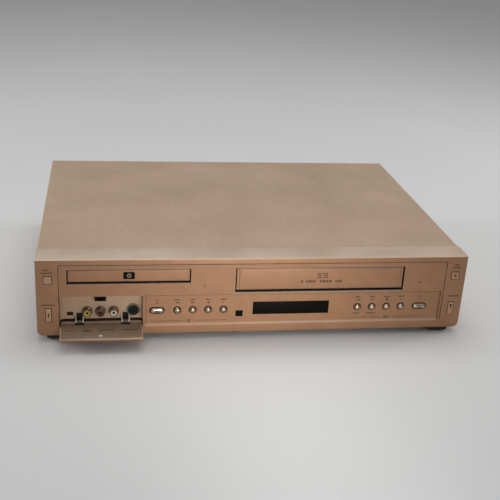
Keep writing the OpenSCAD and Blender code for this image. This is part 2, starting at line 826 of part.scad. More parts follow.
module disc_record_button() color(chrome) in_place() button("oblong", disc_oblong_x, row_z, cap_out);
module disc_back_button() color(chrome) in_place() round_button(disc_buttons_x[0]);
module disc_next_button() color(chrome) in_place() round_button(disc_buttons_x[1]);
module disc_stop_button() color(chrome) in_place() round_button(disc_buttons_x[2]);
module disc_play_button() color(chrome) in_place() round_button(disc_buttons_x[3]);
module tape_rewind_button() color(chrome) in_place() round_button(tape_buttons_x[0]);
module tape_forward_button() color(chrome) in_place() round_button(tape_buttons_x[1]);
module tape_stop_button() color(chrome) in_place() round_button(tape_buttons_x[2]);
module tape_play_button() color(chrome) in_place() round_button(tape_buttons_x[3]);
module tape_record_button() color(chrome) in_place() button("oblong", tape_oblong_x, row_z, cap_out);
module upper_left_button() color(champagne) in_place() button("square", -column_x, square_z, corner_out);
module lower_left_button() color(champagne) in_place() button("tall", -column_x, tall_z, corner_out);
module upper_right_button() color(champagne) in_place() button("square", column_x, square_z, corner_out);
module lower_right_button() color(champagne) in_place() button("tall", column_x, tall_z, corner_out);

// Jack bay

shell_t = 0.6;
shell_back = 6;
insert_hole_r = 1.6;
module at_phono(i) translate([bay_jack_x + phono_dx + i * phono_pitch, 0, phono_z]) children();

module phono_shells() color(chrome) in_place() for (i = [0:2]) at_phono(i) difference() {
    union() {
        rod_y(phono_d / 2, [bay_jack_d - phono_len, bay_jack_d + shell_back]);
        rod_y(phono_flange_d / 2, [bay_jack_d - phono_flange_t, bay_jack_d]);
    }
    rod_y(phono_d / 2 - shell_t, [bay_jack_d - phono_len - 1, bay_jack_d + shell_back + 1]);
}

// Coloured core of a phono jack, with the hole for the plug's tip
module phono_core(i) at_phono(i) difference() {
    rod_y(phono_d / 2 - shell_t, [bay_jack_d - phono_len + 0.2, bay_jack_d + shell_back]);
    rod_y(insert_hole_r, [bay_jack_d - phono_len - 1, bay_jack_d + shell_back - 2]);
}

module phono_yellow() color("gold") in_place() phono_core(0);
module phono_red() color("firebrick") in_place() phono_core(1);
module phono_white() color("ivory") in_place() phono_core(2);

din_rim = 1;
socket_depth = 7;
module bay_sockets() color(dark) in_place() translate([bay_jack_x, 0, 0]) {
    translate([din_dx, 0, phono_z + 1]) difference() {
        rod_y(din_d / 2, [bay_jack_d - din_len, bay_jack_d + socket_depth + 2]);
        rod_y(din_d / 2 - din_rim, [bay_jack_d - din_len - 1, bay_jack_d]);
        for (x = [-2, 2], z = [-1.4, 1.4])
            translate([x, 0, z]) rod_y(0.6, [bay_jack_d - 1, bay_jack_d + socket_depth]);
    }
    translate([link_dx, 0, link_z]) difference() {
        along_y([bay_jack_d, bay_jack_d + socket_depth + 2]) pane(link_w, link_h);
        along_y([bay_jack_d - 1, bay_jack_d + socket_depth]) pane(link_w - 1.2, link_h - 1.2);
    }
}

latch_dx = phono_dx + phono_pitch;
module flap_latch() color(dark) in_place() translate([bay_jack_x + latch_dx, 0, latch_z]) difference() {
    along_y([latch_y, bay_jack_d]) pane(latch_w, latch_h);
    along_y([latch_y - 1, latch_y + catch_l]) pane(catch_w + 1, catch_h + 1.2);
}

// Flap as it stands when closed, about its pivot
module closed_flap() difference() {
    union() {
        slab([-flap_w / 2, flap_w / 2], [0, flap_t], [flap_low, flap_high]);
        for (x = hinge_dx)
            translate([x, pivot_y, pivot_z]) rod_x(knuckle_r, [-knuckle_w / 2, knuckle_w / 2]);
        translate([latch_dx, 0, latch_z]) along_y([flap_t - eps, flap_t + catch_l]) pane(catch_w, catch_h);
    }
    for (x = hinge_dx)
        translate([x, pivot_y, pivot_z]) rod_x(hinge_pin_r + run_gap, [-knuckle_w, knuckle_w]);
}

module jack_flap() color(champagne) in_place()
    translate([bay_jack_x, pivot_y, pivot_z]) rotate([flap_open, 0, 0])
        translate([0, -pivot_y, -pivot_z]) closed_flap();

// Disc loader

module loader_frame() color("dimgray") in_place() translate([tray_x, 0, 0]) {
    wall_in = loader_half - loader_wall;
    slab([-loader_half, loader_half], [loader_y0, loader_y1],
        [loader_floor, loader_floor + loader_floor_t]);
    both_sides() {
        slab([wall_in, loader_half], [loader_y0, loader_y1], [loader_floor, loader_top]);
        slab([wall_in - rail_w, wall_in + eps], [loader_y0, tray_rear],
            [tray_bottom - slide_gap - rail_t, tray_bottom - slide_gap]);
        slab([wall_in - rail_w / 2, wall_in + eps], [loader_y0, loader_y0 + upper_rail_l],
            [tray_top + slide_gap, tray_top + slide_gap + rail_t]);
        difference() {
            slab([traverse_half + slide_gap, traverse_half + slide_gap + traverse_ear],
                [hinge_y - 6, hinge_y + 6], [loader_floor, traverse_top + 5]);
            translate([0, hinge_y, traverse_top])
                rod_x(traverse_pin_r + run_gap, [traverse_half, traverse_half + traverse_ear + 2]);
        }
    }
    slab([-loader_half, loader_half], [loader_y1 - loader_wall, loader_y1], [loader_floor, loader_top]);
    translate([gear_dx, gear_y, 0]) rod_z(gear_bore, [loader_floor, gear_z + gear_t + 0.2]);
    translate([gear_dx, gear_y, 0]) rod_z(gear_bore + 2, [loader_floor, gear_z - slide_gap]);
}

bridge_t = 1;
module clamp_bridge() color(steel) in_place() translate([tray_x, disc_y, loader_top]) difference() {
    slab([-loader_half, loader_half], [-bridge_w / 2 - 4, bridge_w / 2 + 4], [0, bridge_t]);
    rod_z(clamp_neck_r + 2 * run_gap, [-1, bridge_t + 1]);
}

// Clamper: a pad that presses the disc, a neck through the bridge and a flange above it
clamp_low = tray_top + clamp_gap;
module clamper() color("lightgray") in_place() translate([tray_x, disc_y, 0]) difference() {
    union() {
        rod_z(clamp_pad_r, [clamp_low, clamp_low + clamp_pad_t]);
        rod_z(clamp_neck_r, [clamp_low, loader_top + bridge_t + 2]);
        rod_z(clamp_pad_r - 1, [loader_top + bridge_t + slide_gap, loader_top + bridge_t + 2]);
    }
    rod_z(hub_d / 2 + hub_play, [clamp_low - 1, clamp_low + hub_h]);
}

// Tooth of a rack or gear about its pitch line, standing towards +X
module tooth(play) {
    lead = PI / 4 - play / 2;
    slope = tan(20);
    polygon([[-1.1, -lead - 1.1 * slope], [0.95, -lead + 0.95 * slope],
        [0.95, lead - 0.95 * slope], [-1.1, lead + 1.1 * slope]]);
}

rack_teeth = floor((tray_rear - tray_cap_t - 4) / PI);
module tray_rack() translate([rack_dx, 0, gear_z]) {
    slab([-1 - rack_body, -1], [tray_cap_t, tray_rear], [0, tray_bottom - gear_z + eps]);
    for (i = [-4:rack_teeth - 6])
        translate([0, gear_y + (i + 0.5) * PI, 0]) linear_extrude(gear_t) tooth(tooth_play);
}

module disc_tray() color("dimgray") in_place() translate([tray_x, 0, 0]) {
    difference() {
        slab([-tray_w / 2, tray_w / 2], [tray_cap_t, tray_rear], [tray_bottom, tray_top]);
        translate([0, disc_y, 0]) {
            rod_z(well_d / 2, [tray_bottom + tray_floor + small_well_t, tray_top + 1]);
            rod_z(small_well_d / 2, [tray_bottom + tray_floor, tray_top + 1]);
            rod_z(slot_w / 2, [tray_bottom - 1, tray_top + 1]);
        }
        slab([-slot_w / 2, slot_w / 2], [disc_y, slot_end], [tray_bottom - 1, tray_top + 1]);
    }
    tray_rack();
}

cap_border = 3.2;
cap_step = 0.8;
module tray_front() color(champagne) in_place() translate([tray_x, 0, tray_z]) {
    along_y([cap_step, tray_cap_t]) pane(cap_w, cap_h);
    along_y([0, cap_step + eps]) pane(cap_w - 2 * cap_border, cap_h - 2);
}

// Spur gear with straight-sided teeth of module 1
module tray_gear() color("ivory") in_place() translate([tray_x + gear_dx, gear_y, gear_z]) difference() {
    linear_extrude(gear_t) {
        circle(pitch_r - 1);
        for (i = [0:gear_teeth - 1])
            rotate(180 + i * 360 / gear_teeth) translate([pitch_r, 0]) gear_tooth();
    }
    translate([0, 0, -1]) cylinder(r = gear_bore + run_gap, h = gear_t + 2);
}

// Tooth of the gear, rounded towards its tip as an involute is
module gear_tooth() {
    lead = PI / 4 - tooth_play / 2;
    polygon([[-1.2, -lead - 0.32], [-0.4, -lead - 0.12], [0.4, -lead + 0.2], [0.9, -lead + 0.5],
        [0.9, lead - 0.5], [0.4, lead - 0.2], [-0.4, lead + 0.12], [-1.2, lead + 0.32]]);
}

// Traverse: the tilting plate that carries the turntable, the rods and the pickup
motor_r = 12;
module traverse() color(steel) in_place() translate([tray_x, 0, 0]) {
    difference() {
        union() {
            slab([-traverse_half, traverse_half], [traverse_y0, traverse_y1],
                [traverse_top - traverse_t, traverse_top]);
            both_sides() translate([0, hinge_y, traverse_top])
                rod_x(traverse_pin_r, [traverse_half - 4, traverse_half + slide_gap + traverse_ear]);
            both_sides() for (y = [rod_y0, rod_y1 - rod_block])
                slab([rod_dx - 3, screw_dx + 3], [y, y + rod_block], [traverse_top - eps, rod_z + 1.8]);
            translate([0, disc_y, 0]) {
                rod_z(motor_r, [traverse_top - traverse_t - 3, traverse_top]);
                rod_z(spindle_r, [traverse_top - eps, turntable_z + turntable_t + 1]);
            }
        }
        slab([-rod_dx - 4, rod_dx + 4], [rod_y0 + rod_block, rod_y1 - rod_block],
            [traverse_top - traverse_t - 1, traverse_top + eps]);
        both_sides() translate([rod_dx, 0, rod_z]) rod_y(rod_r + run_gap, [rod_y0 - 1, rod_y1 + 1]);
        translate([screw_dx, 0, rod_z]) rod_y(lead_r + run_gap, [rod_y0 - 1, rod_y1 + 1]);
    }
    both_sides() translate([rod_dx, 0, rod_z]) rod_y(rod_r, [rod_y0, rod_y1]);
}

module turntable() color(dark) in_place() translate([tray_x, disc_y, turntable_z]) difference() {
    union() {
        rod_z(turntable_d / 2, [0, turntable_t]);
        rod_z(hub_d / 2, [0, turntable_t + hub_h]);
    }
    rod_z(spindle_r + run_gap, [-1, turntable_t + 1.4]);
}

lens_r = 3.5;
module pickup_sled() color("slategray") in_place() translate([tray_x, sled_y0, 0]) difference() {
    union() {
        slab([-sled_w / 2, sled_w / 2], [0, sled_l], [traverse_top + 0.6, traverse_top + 5]);
        both_sides() slab([sled_w / 2 - eps, rod_dx + 4], [lug_y, lug_y + lug_l], [rod_z - 2.4, rod_z + 2.4]);
        translate([0, 9, 0]) rod_z(lens_r, [traverse_top + 1, traverse_top + 6.4]);
    }
    both_sides() translate([rod_dx, 0, rod_z]) rod_y(rod_r + run_gap, [0, sled_l]);
}

module lead_screw() color(chrome) in_place() translate([tray_x + screw_dx, 0, rod_z]) {
    rod_y(lead_r, [rod_y0 - 2, rod_y1 + 3]);
    rod_y(lead_r + 0.4, [rod_y1 + 0.6, rod_y1 + 3]);
}

// Cassette deck

module deck_frame() color(steel) in_place() translate([bay_x, 0, 0]) difference() {
    union() {
        slab([-deck_half, deck_half], [deck_y0, deck_y1], [deck_z, deck_top]);
        both_sides() slab([bracket_in, bracket_out], [deck_y0, bracket_y1], [deck_z, bracket_top]);
        for (side = [-1, 1])
            translate([side * reel_pitch / 2, reel_y, 0])
                rod_z(reel_post_r, [deck_z, deck_top + reel_post_h]);
        translate([capstan_dx, capstan_y, 0])
            rod_z(capstan_house_r, [deck_z, deck_top + capstan_house_h]);
        translate([pinch_dx, pinch_y, 0]) {
            rod_z(pinch_post_r, [deck_z, pinch_z + 5]);
            rod_z(pinch_post_r + 2, [deck_z, pinch_z - slide_gap]);
        }
    }
    both_sides() slab([bracket_in - 1, bracket_out + 1],
        [guide_y[0] - guide_half, guide_y[1] + carriage_run + guide_half],
        [yoke_pin_z - guide_half, yoke_pin_z + guide_half]);
    translate([capstan_dx, capstan_y, 0])
        rod_z(capstan_r + run_gap, [deck_z - 1, deck_top + capstan_house_h + 1]);
}

// Door plate with a raised field, two arms and the hinge pins
door_border = 4.4;
door_step = 0.8;
arm_w = 5;
arm_drop = 8;
arm_front = panel_t + 0.7;
module cassette_door() color(champagne) in_place() translate([bay_x, 0, 0]) {
    translate([0, 0, bay_z]) {
        along_y([door_y + door_step, door_y + door_t]) pane(door_w, door_h);
        along_y([door_y, door_y + door_step + eps]) pane(door_w - 2 * door_border, door_h - 3);
    }
    both_sides() {
        slab([door_w / 2 - arm_w, door_w / 2], [arm_front, door_hinge_y + door_pin_r],
            [bay_z + door_h / 2 - arm_drop, door_hinge_z + door_pin_r]);
        slab([door_w / 2 - arm_w, door_w / 2], [door_y + door_t - eps, arm_front + eps],
            [bay_z + door_h / 2 - arm_drop, bay_z + door_h / 2]);
        translate([0, door_hinge_y, door_hinge_z]) rod_x(door_pin_r, [door_w / 2 - arm_w, ear_dx + ear_t]);
    }
}

module carriage_yoke() color("silver") in_place() translate([bay_x, 0, 0]) {
    both_sides() {
        difference() {
            slab([yoke_in, yoke_out], yoke_y, [yoke_low, yoke_bar_z + yoke_bar_t]);
            for (y = guide_y)
                slab([yoke_in - 1, yoke_out + 1], [y - guide_half, y + guide_half],
                    [holder_pin_z - carriage_drop - guide_half, holder_pin_z + guide_half]);
        }
        for (y = guide_y)
            translate([0, y, yoke_pin_z]) rod_x(guide_r, [yoke_out - eps, bracket_out]);
    }
    slab([-yoke_out, yoke_out], [yoke_y[1] - yoke_bar_w, yoke_y[1]], [yoke_bar_z, yoke_bar_z + yoke_bar_t]);
}

holder_y = [deck_y0, holder_y1 + holder_t];
holder_hole_pitch = 62;
holder_hole = [46, 62];
module cassette_holder() color("silver") in_place() translate([bay_x, 0, 0]) {
    both_sides() {
        slab([holder_in, holder_out], holder_y, [holder_low, holder_high + holder_t]);
        slab([holder_in - ledge_w, holder_in + eps], holder_y, [holder_low, holder_low + holder_t]);
        for (y = guide_y)
            translate([0, y, holder_pin_z]) rod_x(guide_r, [holder_in + eps, yoke_out - 0.2]);
    }
    difference() {
        slab([-holder_out, holder_out], holder_y, [holder_high, holder_high + holder_t]);
        for (x = [-holder_hole_pitch, 0, holder_hole_pitch])
            translate([x, (deck_y0 + holder_y1) / 2, holder_high - 1])
                linear_extrude(holder_t + 2) rounded(holder_hole[0], holder_hole[1], 5);
    }
    slab([-holder_out, holder_out], [holder_y1, holder_y[1]], [holder_high - 6, holder_high + holder_t]);
}

// Reel table with a finned spindle
reel_base_r = 18;
reel_base_t = 3;
reel_hub_r = 8;
reel_hub_h = 8;
reel_seat_r = 13;
reel_seat_t = 1.4;
spindle_top = 20;
spindle_out_r = 4.2;
fin_l = 6;
fin_top = 18;
module reel(x) translate([bay_x + x, reel_y, deck_top + 0.4]) difference() {
    union() {
        rod_z(reel_base_r, [0, reel_base_t]);
        rod_z(reel_hub_r, [0, reel_hub_h]);
        rod_z(reel_seat_r, [reel_hub_h - 1, reel_hub_h - 1 + reel_seat_t]);
        rod_z(spindle_out_r, [0, spindle_top]);
        for (turn = [0, 120, 240])
            rotate(turn) slab([0, fin_l], [-0.8, 0.8], [reel_hub_h, fin_top]);
    }
    rod_z(reel_post_r + run_gap, [-1, reel_post_h]);
}
module supply_reel() color("whitesmoke") in_place() reel(-reel_pitch / 2);
module takeup_reel() color("whitesmoke") in_place() reel(reel_pitch / 2);

// Head drum: a fixed lower half on a seat, and a turning upper half
drum_base = 4;
module at_drum() translate([bay_x, drum_y, deck_top]) children();
module lower_drum() color(chrome) in_place() at_drum() {
    rod_z(drum_seat_r, [0, drum_base + 2]);
    rotate([drum_tilt, 0, 0]) {
        rod_z(drum_d / 2, [drum_base, drum_base + lower_drum_h]);
        rod_z(drum_shaft_r, [drum_base, drum_base + lower_drum_h + upper_drum_h]);
    }
}

head_count = 6;
module upper_drum() color(chrome) in_place() at_drum() rotate([drum_tilt, 0, 0])
    translate([0, 0, drum_base + lower_drum_h + drum_gap]) difference() {
        rod_z(drum_d / 2, [0, upper_drum_h]);
        rod_z(drum_shaft_r + run_gap, [-1, upper_drum_h + 1]);
        difference() {
            rod_z(drum_d / 2 - 4, [upper_drum_h - 5, upper_drum_h + 1]);
            rod_z(10, [upper_drum_h - 6, upper_drum_h + 2]);
        }
        for (i = [0:head_count - 1])
            rotate(i * 360 / head_count) slab([drum_d / 2 - 2, drum_d / 2 + 1], [-1.5, 1.5], [-1, 2]);
    }

module capstan() color(chrome) in_place() translate([bay_x + capstan_dx, capstan_y, 0]) {
    rod_z(flywheel_r, [deck_z - 6.5, deck_z - 1.5]);
    rod_z(capstan_r, [deck_z - 6.5, pinch_z + pinch_roller_h + 6]);
}

module at_pinch() translate([bay_x + pinch_dx, pinch_y, pinch_z]) rotate(pinch_rest) children();
roller_pin_r = 1.5;
arm_t = 4;
module pinch_arm() color(steel) in_place() at_pinch() difference() {
    union() {
        rod_z(5, [0, arm_t]);
        slab([0, pinch_arm_l], [-3, 3], [0, arm_t - 1]);
        translate([pinch_arm_l, 0, 0]) {
            rod_z(3.5, [0, arm_t]);
            rod_z(roller_pin_r, [0, arm_t + pinch_roller_h + 1]);
        }
    }
    rod_z(pinch_post_r + run_gap, [-1, arm_t + 1]);
}

module pinch_roller() color(dark) in_place() at_pinch()
    translate([pinch_arm_l, 0, arm_t + slide_gap]) difference() {
        rod_z(pinch_r, [0, pinch_roller_h]);
        rod_z(roller_pin_r + run_gap, [-1, pinch_roller_h + 1]);
    }

loading_x = -82;
loading_r = 10;
module loading_motor() color("gray") in_place() translate([bay_x + loading_x, drum_y, deck_top]) {
    slab([-14, 14], [-7, 7], [0, 6]);
    translate([0, 0, 6 + loading_r - 1]) {
        rod_x(loading_r, [-16, 14]);
        rod_x(3, [14 - eps, 28]);
    }
}

// Fixed posts and heads along the tape's path
tape_post_x = [-60, -40, 26, 82];
tape_post_r = 3;
tape_post_h = 24;
tape_post_rim = 1;
tape_head_x = [-80, -22];
tape_head = [12, 8, 22];
module tape_posts() color(chrome) in_place() translate([bay_x, inside_y + 7, deck_top]) {
    for (x = tape_post_x)
        translate([x, 0, 0]) {
            rod_z(tape_post_r, [0, tape_post_h]);
            rod_z(tape_post_r + tape_post_rim, [tape_post_h - 2 * tape_post_rim, tape_post_h]);
            rod_z(tape_post_r + tape_post_rim, [0, 3 * tape_post_rim]);
        }
    for (x = tape_head_x)
        slab([x - tape_head[0] / 2, x + tape_head[0] / 2], [-tape_head[1] / 2, tape_head[1] / 2],
            [0, tape_head[2]]);
}

// Boards and rear fittings

// Chips on the main board: place across and back, width, share of the free depth, and height
main_chips = [[40, 3, 30, 0.46, 4], [110, 3.5, 24, 0.62, 3], [150, 5, 14, 0.36, 12]];
wing_chip = [18, 26, 3];
wing_chip_pitch = 44;
module main_board() color(board_green) in_place() {
    z = [stand_z, stand_z + board_t];
    chip_room = rear_y - block_d - strip_y0 - 4;
    slab([strip_x0, strip_x1], [strip_y0, strip_y1], z);
    slab([wing_x0, strip_x1], [deck_y0, strip_y0 + eps], z);
    for (c = main_chips)
        translate([strip_x0 + c[0], strip_y0 + c[1], z[1] - eps]) cube([c[2], c[3] * chip_room, c[4]]);
    for (i = [0:4])
        translate([wing_x0 + 8, deck_y0 + 20 + i * wing_chip_pitch, z[1] - eps])
            cube([strip_x1 - wing_x0 - wing_chip[0], wing_chip[1], wing_chip[2]]);
}

// Capacitors: place along the row, radius and height
cap_row = [[0, 10, 22], [28, 9, 26], [52, 7, 20], [72, 6, 16]];
cap_start = [20, 30];
coil_x = [96, 140];
coil_y = [20, 58];
coil_h = 34;
sink_x = [40, 90];
sink_y = [50, 66];
sink_t = 4;
fin_pitch = 7;
fin_t = 2;
sink_h = 36;
module power_board() color("#7a6a38") in_place() {
    top = stand_z + board_t;
    slab([power_x0, power_x1], [power_y0, power_y1], [stand_z, top]);
    translate([power_x0, power_y0, 0]) {
        slab(coil_x, coil_y, [top - eps, top + coil_h]);
        for (c = cap_row)
            translate([cap_start[0] + c[0], cap_start[1], 0]) rod_z(c[1], [top - eps, top + c[2]]);
        slab(sink_x, [sink_y[1] - sink_t, sink_y[1]], [top - eps, top + sink_h]);
        for (i = [0:6]) {
            x = sink_x[0] + fin_t + i * fin_pitch;
            slab([x, x + fin_t], sink_y, [top - eps, top + sink_h]);
        }
    }
}

// Column of two phono jacks on one block that stands on the main board
aerial_r = 4.7;
block_d = 12;
block_w = 12;
block_rise = 7;
aerial_block = [40, 24, 10];
module rear_jacks() color(chrome) in_place() {
    block_y = [rear_y - block_d, rear_y - 0.2];
    block_z0 = stand_z + board_t;
    for (x = jack_col_x) difference() {
        union() {
            slab([x - block_w / 2, x + block_w / 2], block_y, [block_z0, jack_row_z[1] + block_rise]);
            for (z = jack_row_z)
                translate([x, 0, z]) rod_y(phono_d / 2, [rear_y - 1, rear_y + sheet_t + rear_jack_len]);
        }
        for (z = jack_row_z)
            translate([x, 0, z]) rod_y(insert_hole_r, [rear_y, body_d + rear_jack_len]);
    }
    difference() {
        union() {
            slab([aerial_x - aerial_block[0] / 2, aerial_x + aerial_block[0] / 2],
                [rear_y - aerial_block[1], rear_y - 0.2], [block_z0, aerial_z[1] + aerial_block[2]]);
            for (z = aerial_z)
                translate([aerial_x, 0, z]) rod_y(aerial_r, [rear_y - 1, rear_y + sheet_t + rear_jack_len]);
        }
        for (z = aerial_z)
            translate([aerial_x, 0, z]) rod_y(insert_hole_r, [rear_y, body_d + rear_jack_len]);
    }
}

// Inlet for a two-pole mains lead: a flanged cup with two pins
module power_inlet() color(dark) in_place() translate([inlet_x, 0, inlet_z]) {
    difference() {
        union() {
            along_y([rear_y - inlet_depth, rear_y + sheet_t + 0.6]) pane(inlet_w, inlet_h);
            along_y([rear_y - 2.2, rear_y - 0.2]) pane(inlet_w + 8, inlet_h + 4);
        }
        along_y([rear_y - inlet_depth + 2, body_d + 1]) oblong(inlet_w - 6, inlet_h - 7);
    }
    for (side = [-1, 1])
        translate([side * 4.3, 0, 0]) rod_y(1.2, [rear_y - inlet_depth + 2 - eps, rear_y - 4]);
}

fan_hub_r = 12;
fan_y = [rear_y - fan_d, rear_y];
module fan_frame() color(dark) in_place() translate([fan_x, 0, fan_z]) {
    difference() {
        along_y(fan_y) rounded(fan_s, fan_s, 4);
        rod_y(fan_s / 2 - 3, [fan_y[0] - 1, fan_y[1] + 1]);
    }
    for (turn = [45, 135])
        rotate([0, turn, 0]) slab([1 - fan_s / 2, fan_s / 2 - 1], [fan_y[0], fan_y[0] + 2], [-2, 2]);
    rod_y(fan_hub_r, [fan_y[0], fan_y[0] + 2]);
    rod_y(spindle_r, [fan_y[0], fan_y[1] - 2]);
}

blade_count = 7;
blade_pitch = 40;
module fan_rotor() color("#3a3a3a") in_place() translate([fan_x, 0, fan_z]) difference() {
    union() {
        rod_y(fan_hub_r, [fan_y[0] + 2.6, fan_y[1] - 1.4]);
        for (i = [0:blade_count - 1])
            rotate([0, i * 360 / blade_count, 0]) translate([0, fan_y[0] + fan_d / 2 + 0.5, 0])
                intersection() {
                    translate([fan_hub_r - 1, 0, 0]) rotate([blade_pitch, 0, 0])
                        slab([0, fan_s / 2 - fan_hub_r - 4], [-0.6, 0.6], [-7, 7]);
                    rod_y(fan_s / 2 - 4, [-4.5, 4.5]);
                }
    }
    rod_y(spindle_r + run_gap, [fan_y[0], fan_y[1] - 1.9]);
}

base_pan();
front_panel();
top_cover();
rear_panel();
feet();
cover_screws();
display_window();
remote_window();
control_boards();
phono_shells();
phono_yellow();
phono_red();
phono_white();
bay_sockets();
flap_latch();
jack_flap();
loader_frame();
clamp_bridge();
clamper();
disc_tray();
tray_front();
tray_gear();
traverse();
turntable();
pickup_sled();
lead_screw();
deck_frame();
cassette_door();
carriage_yoke();
cassette_holder();
supply_reel();
takeup_reel();
lower_drum();
upper_drum();
capstan();
pinch_arm();
pinch_roller();
loading_motor();
tape_posts();
main_board();
power_board();
rear_jacks();
power_inlet();
fan_frame();
fan_rotor();
disc_record_button();
disc_back_button();
disc_next_button();
disc_stop_button();
disc_play_button();
tape_rewind_button();
tape_forward_button();
tape_stop_button();
tape_play_button();
tape_record_button();
upper_left_button();
lower_left_button();
upper_right_button();
lower_right_button();
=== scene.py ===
"""Looks of a combined disc recorder and cassette deck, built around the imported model.

Sizes are millimetres in the panel's own frame: x from the panel's middle, y backwards from its front
face and z up from its lower edge. Shape.make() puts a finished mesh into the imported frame, in metres.
"""

from __future__ import annotations

import logging
import math
from dataclasses import dataclass, field
from enum import Enum
from functools import reduce
from typing import Callable, Iterable, Sequence

import bmesh
import bpy
from bmesh.types import BMEdge, BMFace, BMVert
from bpy.types import ID, Material, Node, NodeSocket, NodeTree, Object
from mathutils import Matrix, Vector


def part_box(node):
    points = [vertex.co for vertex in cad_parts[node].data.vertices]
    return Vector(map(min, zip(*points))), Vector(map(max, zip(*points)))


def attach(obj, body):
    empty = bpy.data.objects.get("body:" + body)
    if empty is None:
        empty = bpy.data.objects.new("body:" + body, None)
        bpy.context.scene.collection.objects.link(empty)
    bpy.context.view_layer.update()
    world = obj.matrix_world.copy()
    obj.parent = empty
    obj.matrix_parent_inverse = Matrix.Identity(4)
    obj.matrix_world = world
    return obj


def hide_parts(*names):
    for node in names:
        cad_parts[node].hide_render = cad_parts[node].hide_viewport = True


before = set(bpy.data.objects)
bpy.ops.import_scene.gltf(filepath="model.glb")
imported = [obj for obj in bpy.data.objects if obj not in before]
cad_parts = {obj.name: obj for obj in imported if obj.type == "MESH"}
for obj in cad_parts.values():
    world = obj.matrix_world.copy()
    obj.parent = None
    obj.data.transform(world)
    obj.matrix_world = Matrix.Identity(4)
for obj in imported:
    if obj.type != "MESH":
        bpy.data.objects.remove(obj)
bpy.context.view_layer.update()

LOG = logging.getLogger("recorder")
Span = tuple[float, float]
Point = tuple[float, float]
Place = tuple[float, float, float]
Colour = tuple[float, float, float]

MM = 0.001
PANEL_LOW = Vector(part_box("front_panel")[0])
TO_FRAME = Matrix.Translation((0.0, PANEL_LOW.y, PANEL_LOW.z)) @ Matrix.Scale(MM, 4)
SMOOTH_ANGLE = math.radians(32)
CREASE = 60.0
NEAR = 0.01
UNIT: Span = (0.0, 1.0)
FADING: Span = (1.0, 0.0)
ROOT = "chassis"

# The colour sockets of a Mix node share their names with its number and vector sockets.
MIX_COLOURS = (6, 7)
MIX_RESULT = 2

# Scale of the broad mottling as a share of the fine grain's.
MOTTLE_SHARE = 0.012


def srgb(red: int, green: int, blue: int) -> Colour:
    """Linear colour of a screen colour.

    Args:
        red, green, blue: Screen values from 0 to 255.

    Returns:
        The three linear values.
    """

    def linear(value: int) -> float:
        """Linear value of one screen value."""
        share = value / 255
        return share / 12.92 if share <= 0.04045 else ((share + 0.055) / 1.055) ** 2.4

    return linear(red), linear(green), linear(blue)


def arc(middle: Point, radius: float, start: float, end: float, steps: int) -> list[Point]:
    """Points along an arc.

    Args:
        middle: Centre of the arc.
        radius: Radius of the arc.
        start, end: First and last angle in degrees.
        steps: Number of stretches.

    Returns:
        The points from start to end, both included.
    """
    turns = [math.radians(start + (end - start) * i / steps) for i in range(steps + 1)]
    return [(middle[0] + radius * math.cos(t), middle[1] + radius * math.sin(t)) for t in turns]


def rounded_outline(width: float, height: float, radius: float, steps: int = 5) -> list[Point]:
    """Outline of a rectangle about its middle with round corners.

    Args:
        width, height: Size of the rectangle.
        radius: Radius of the corners.
        steps: Stretches in each corner.

    Returns:
        The outline's points, anticlockwise.
    """
    dx, dy = width / 2 - radius, height / 2 - radius
    corners = ((dx, dy, 0), (-dx, dy, 90), (-dx, -dy, 180), (dx, -dy, 270))
    return [p for x, y, turn in corners for p in arc((x, y), radius, turn, turn + 90, steps)]


def moved(outline: Iterable[Point], by: Point) -> list[Point]:
    """The outline's points, shifted by two distances."""
    return [(a + by[0], b + by[1]) for a, b in outline]


def rectangle(x: Span, z: Span) -> list[Point]:
    """Outline of the rectangle between two spans."""
    return [(x[0], z[0]), (x[1], z[0]), (x[1], z[1]), (x[0], z[1])]


def widened(span: Span, by: float) -> Span:
    """The span with both of its ends moved outwards."""
    return span[0] - by, span[1] + by


def raised(span: Span, by: float) -> Span:
    """The span with both of its ends moved up."""
    return span[0] + by, span[1] + by


def around(middle: float, half: float) -> Span:
    """The span that reaches equally far to both sides of a value."""
    return middle - half, middle + half


def between(first: float, second: float) -> Span:
    """The span between two values, the lower one first."""
    return min(first, second), max(first, second)


def rod_profile(radius: float, along: Span) -> list[Point]:
    """Profile of a solid rod, to be turned about its line."""
    return rectangle((0.0, radius), along)


def ring_profile(radii: Span, along: Span) -> list[Point]:
    """Closed profile of a ring, to be turned about its line."""
    corners = rectangle(radii, along)
    return [*corners, corners[0]]


class Axis(Enum):
    """Direction that an outline is drawn out along."""

    X = 0
    Y = 1
    Z = 2

    def point(self, a: float, b: float, along: float) -> Vector:
        """Point of an outline: a and b across the direction, in x, y, z order, and along it."""
        values = [a, b]
        values.insert(self.value, along)
        return Vector(values)

    @property
    def unit(self) -> Vector:
        """Unit vector of the direction."""
        return self.point(0.0, 0.0, 1.0)


def add_object(name: str, data: ID) -> Object:
    """Adds an object with the given data to the scene, at the origin."""
    added = bpy.data.objects.new(name, data)
    bpy.context.scene.collection.objects.link(added)
    return added


@dataclass(frozen=True)
class NodeBox:
    """Box of a CAD node in panel millimetres."""

    low: Vector
    high: Vector

    @classmethod
    def of(cls, node: str) -> NodeBox:
        """The box of a named node."""
        inverse = TO_FRAME.inverted()
        low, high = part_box(node)
        return cls(inverse @ Vector(low), inverse @ Vector(high))

    @property
    def middle(self) -> Vector:
        """Middle of the box."""
        return (self.low + self.high) / 2


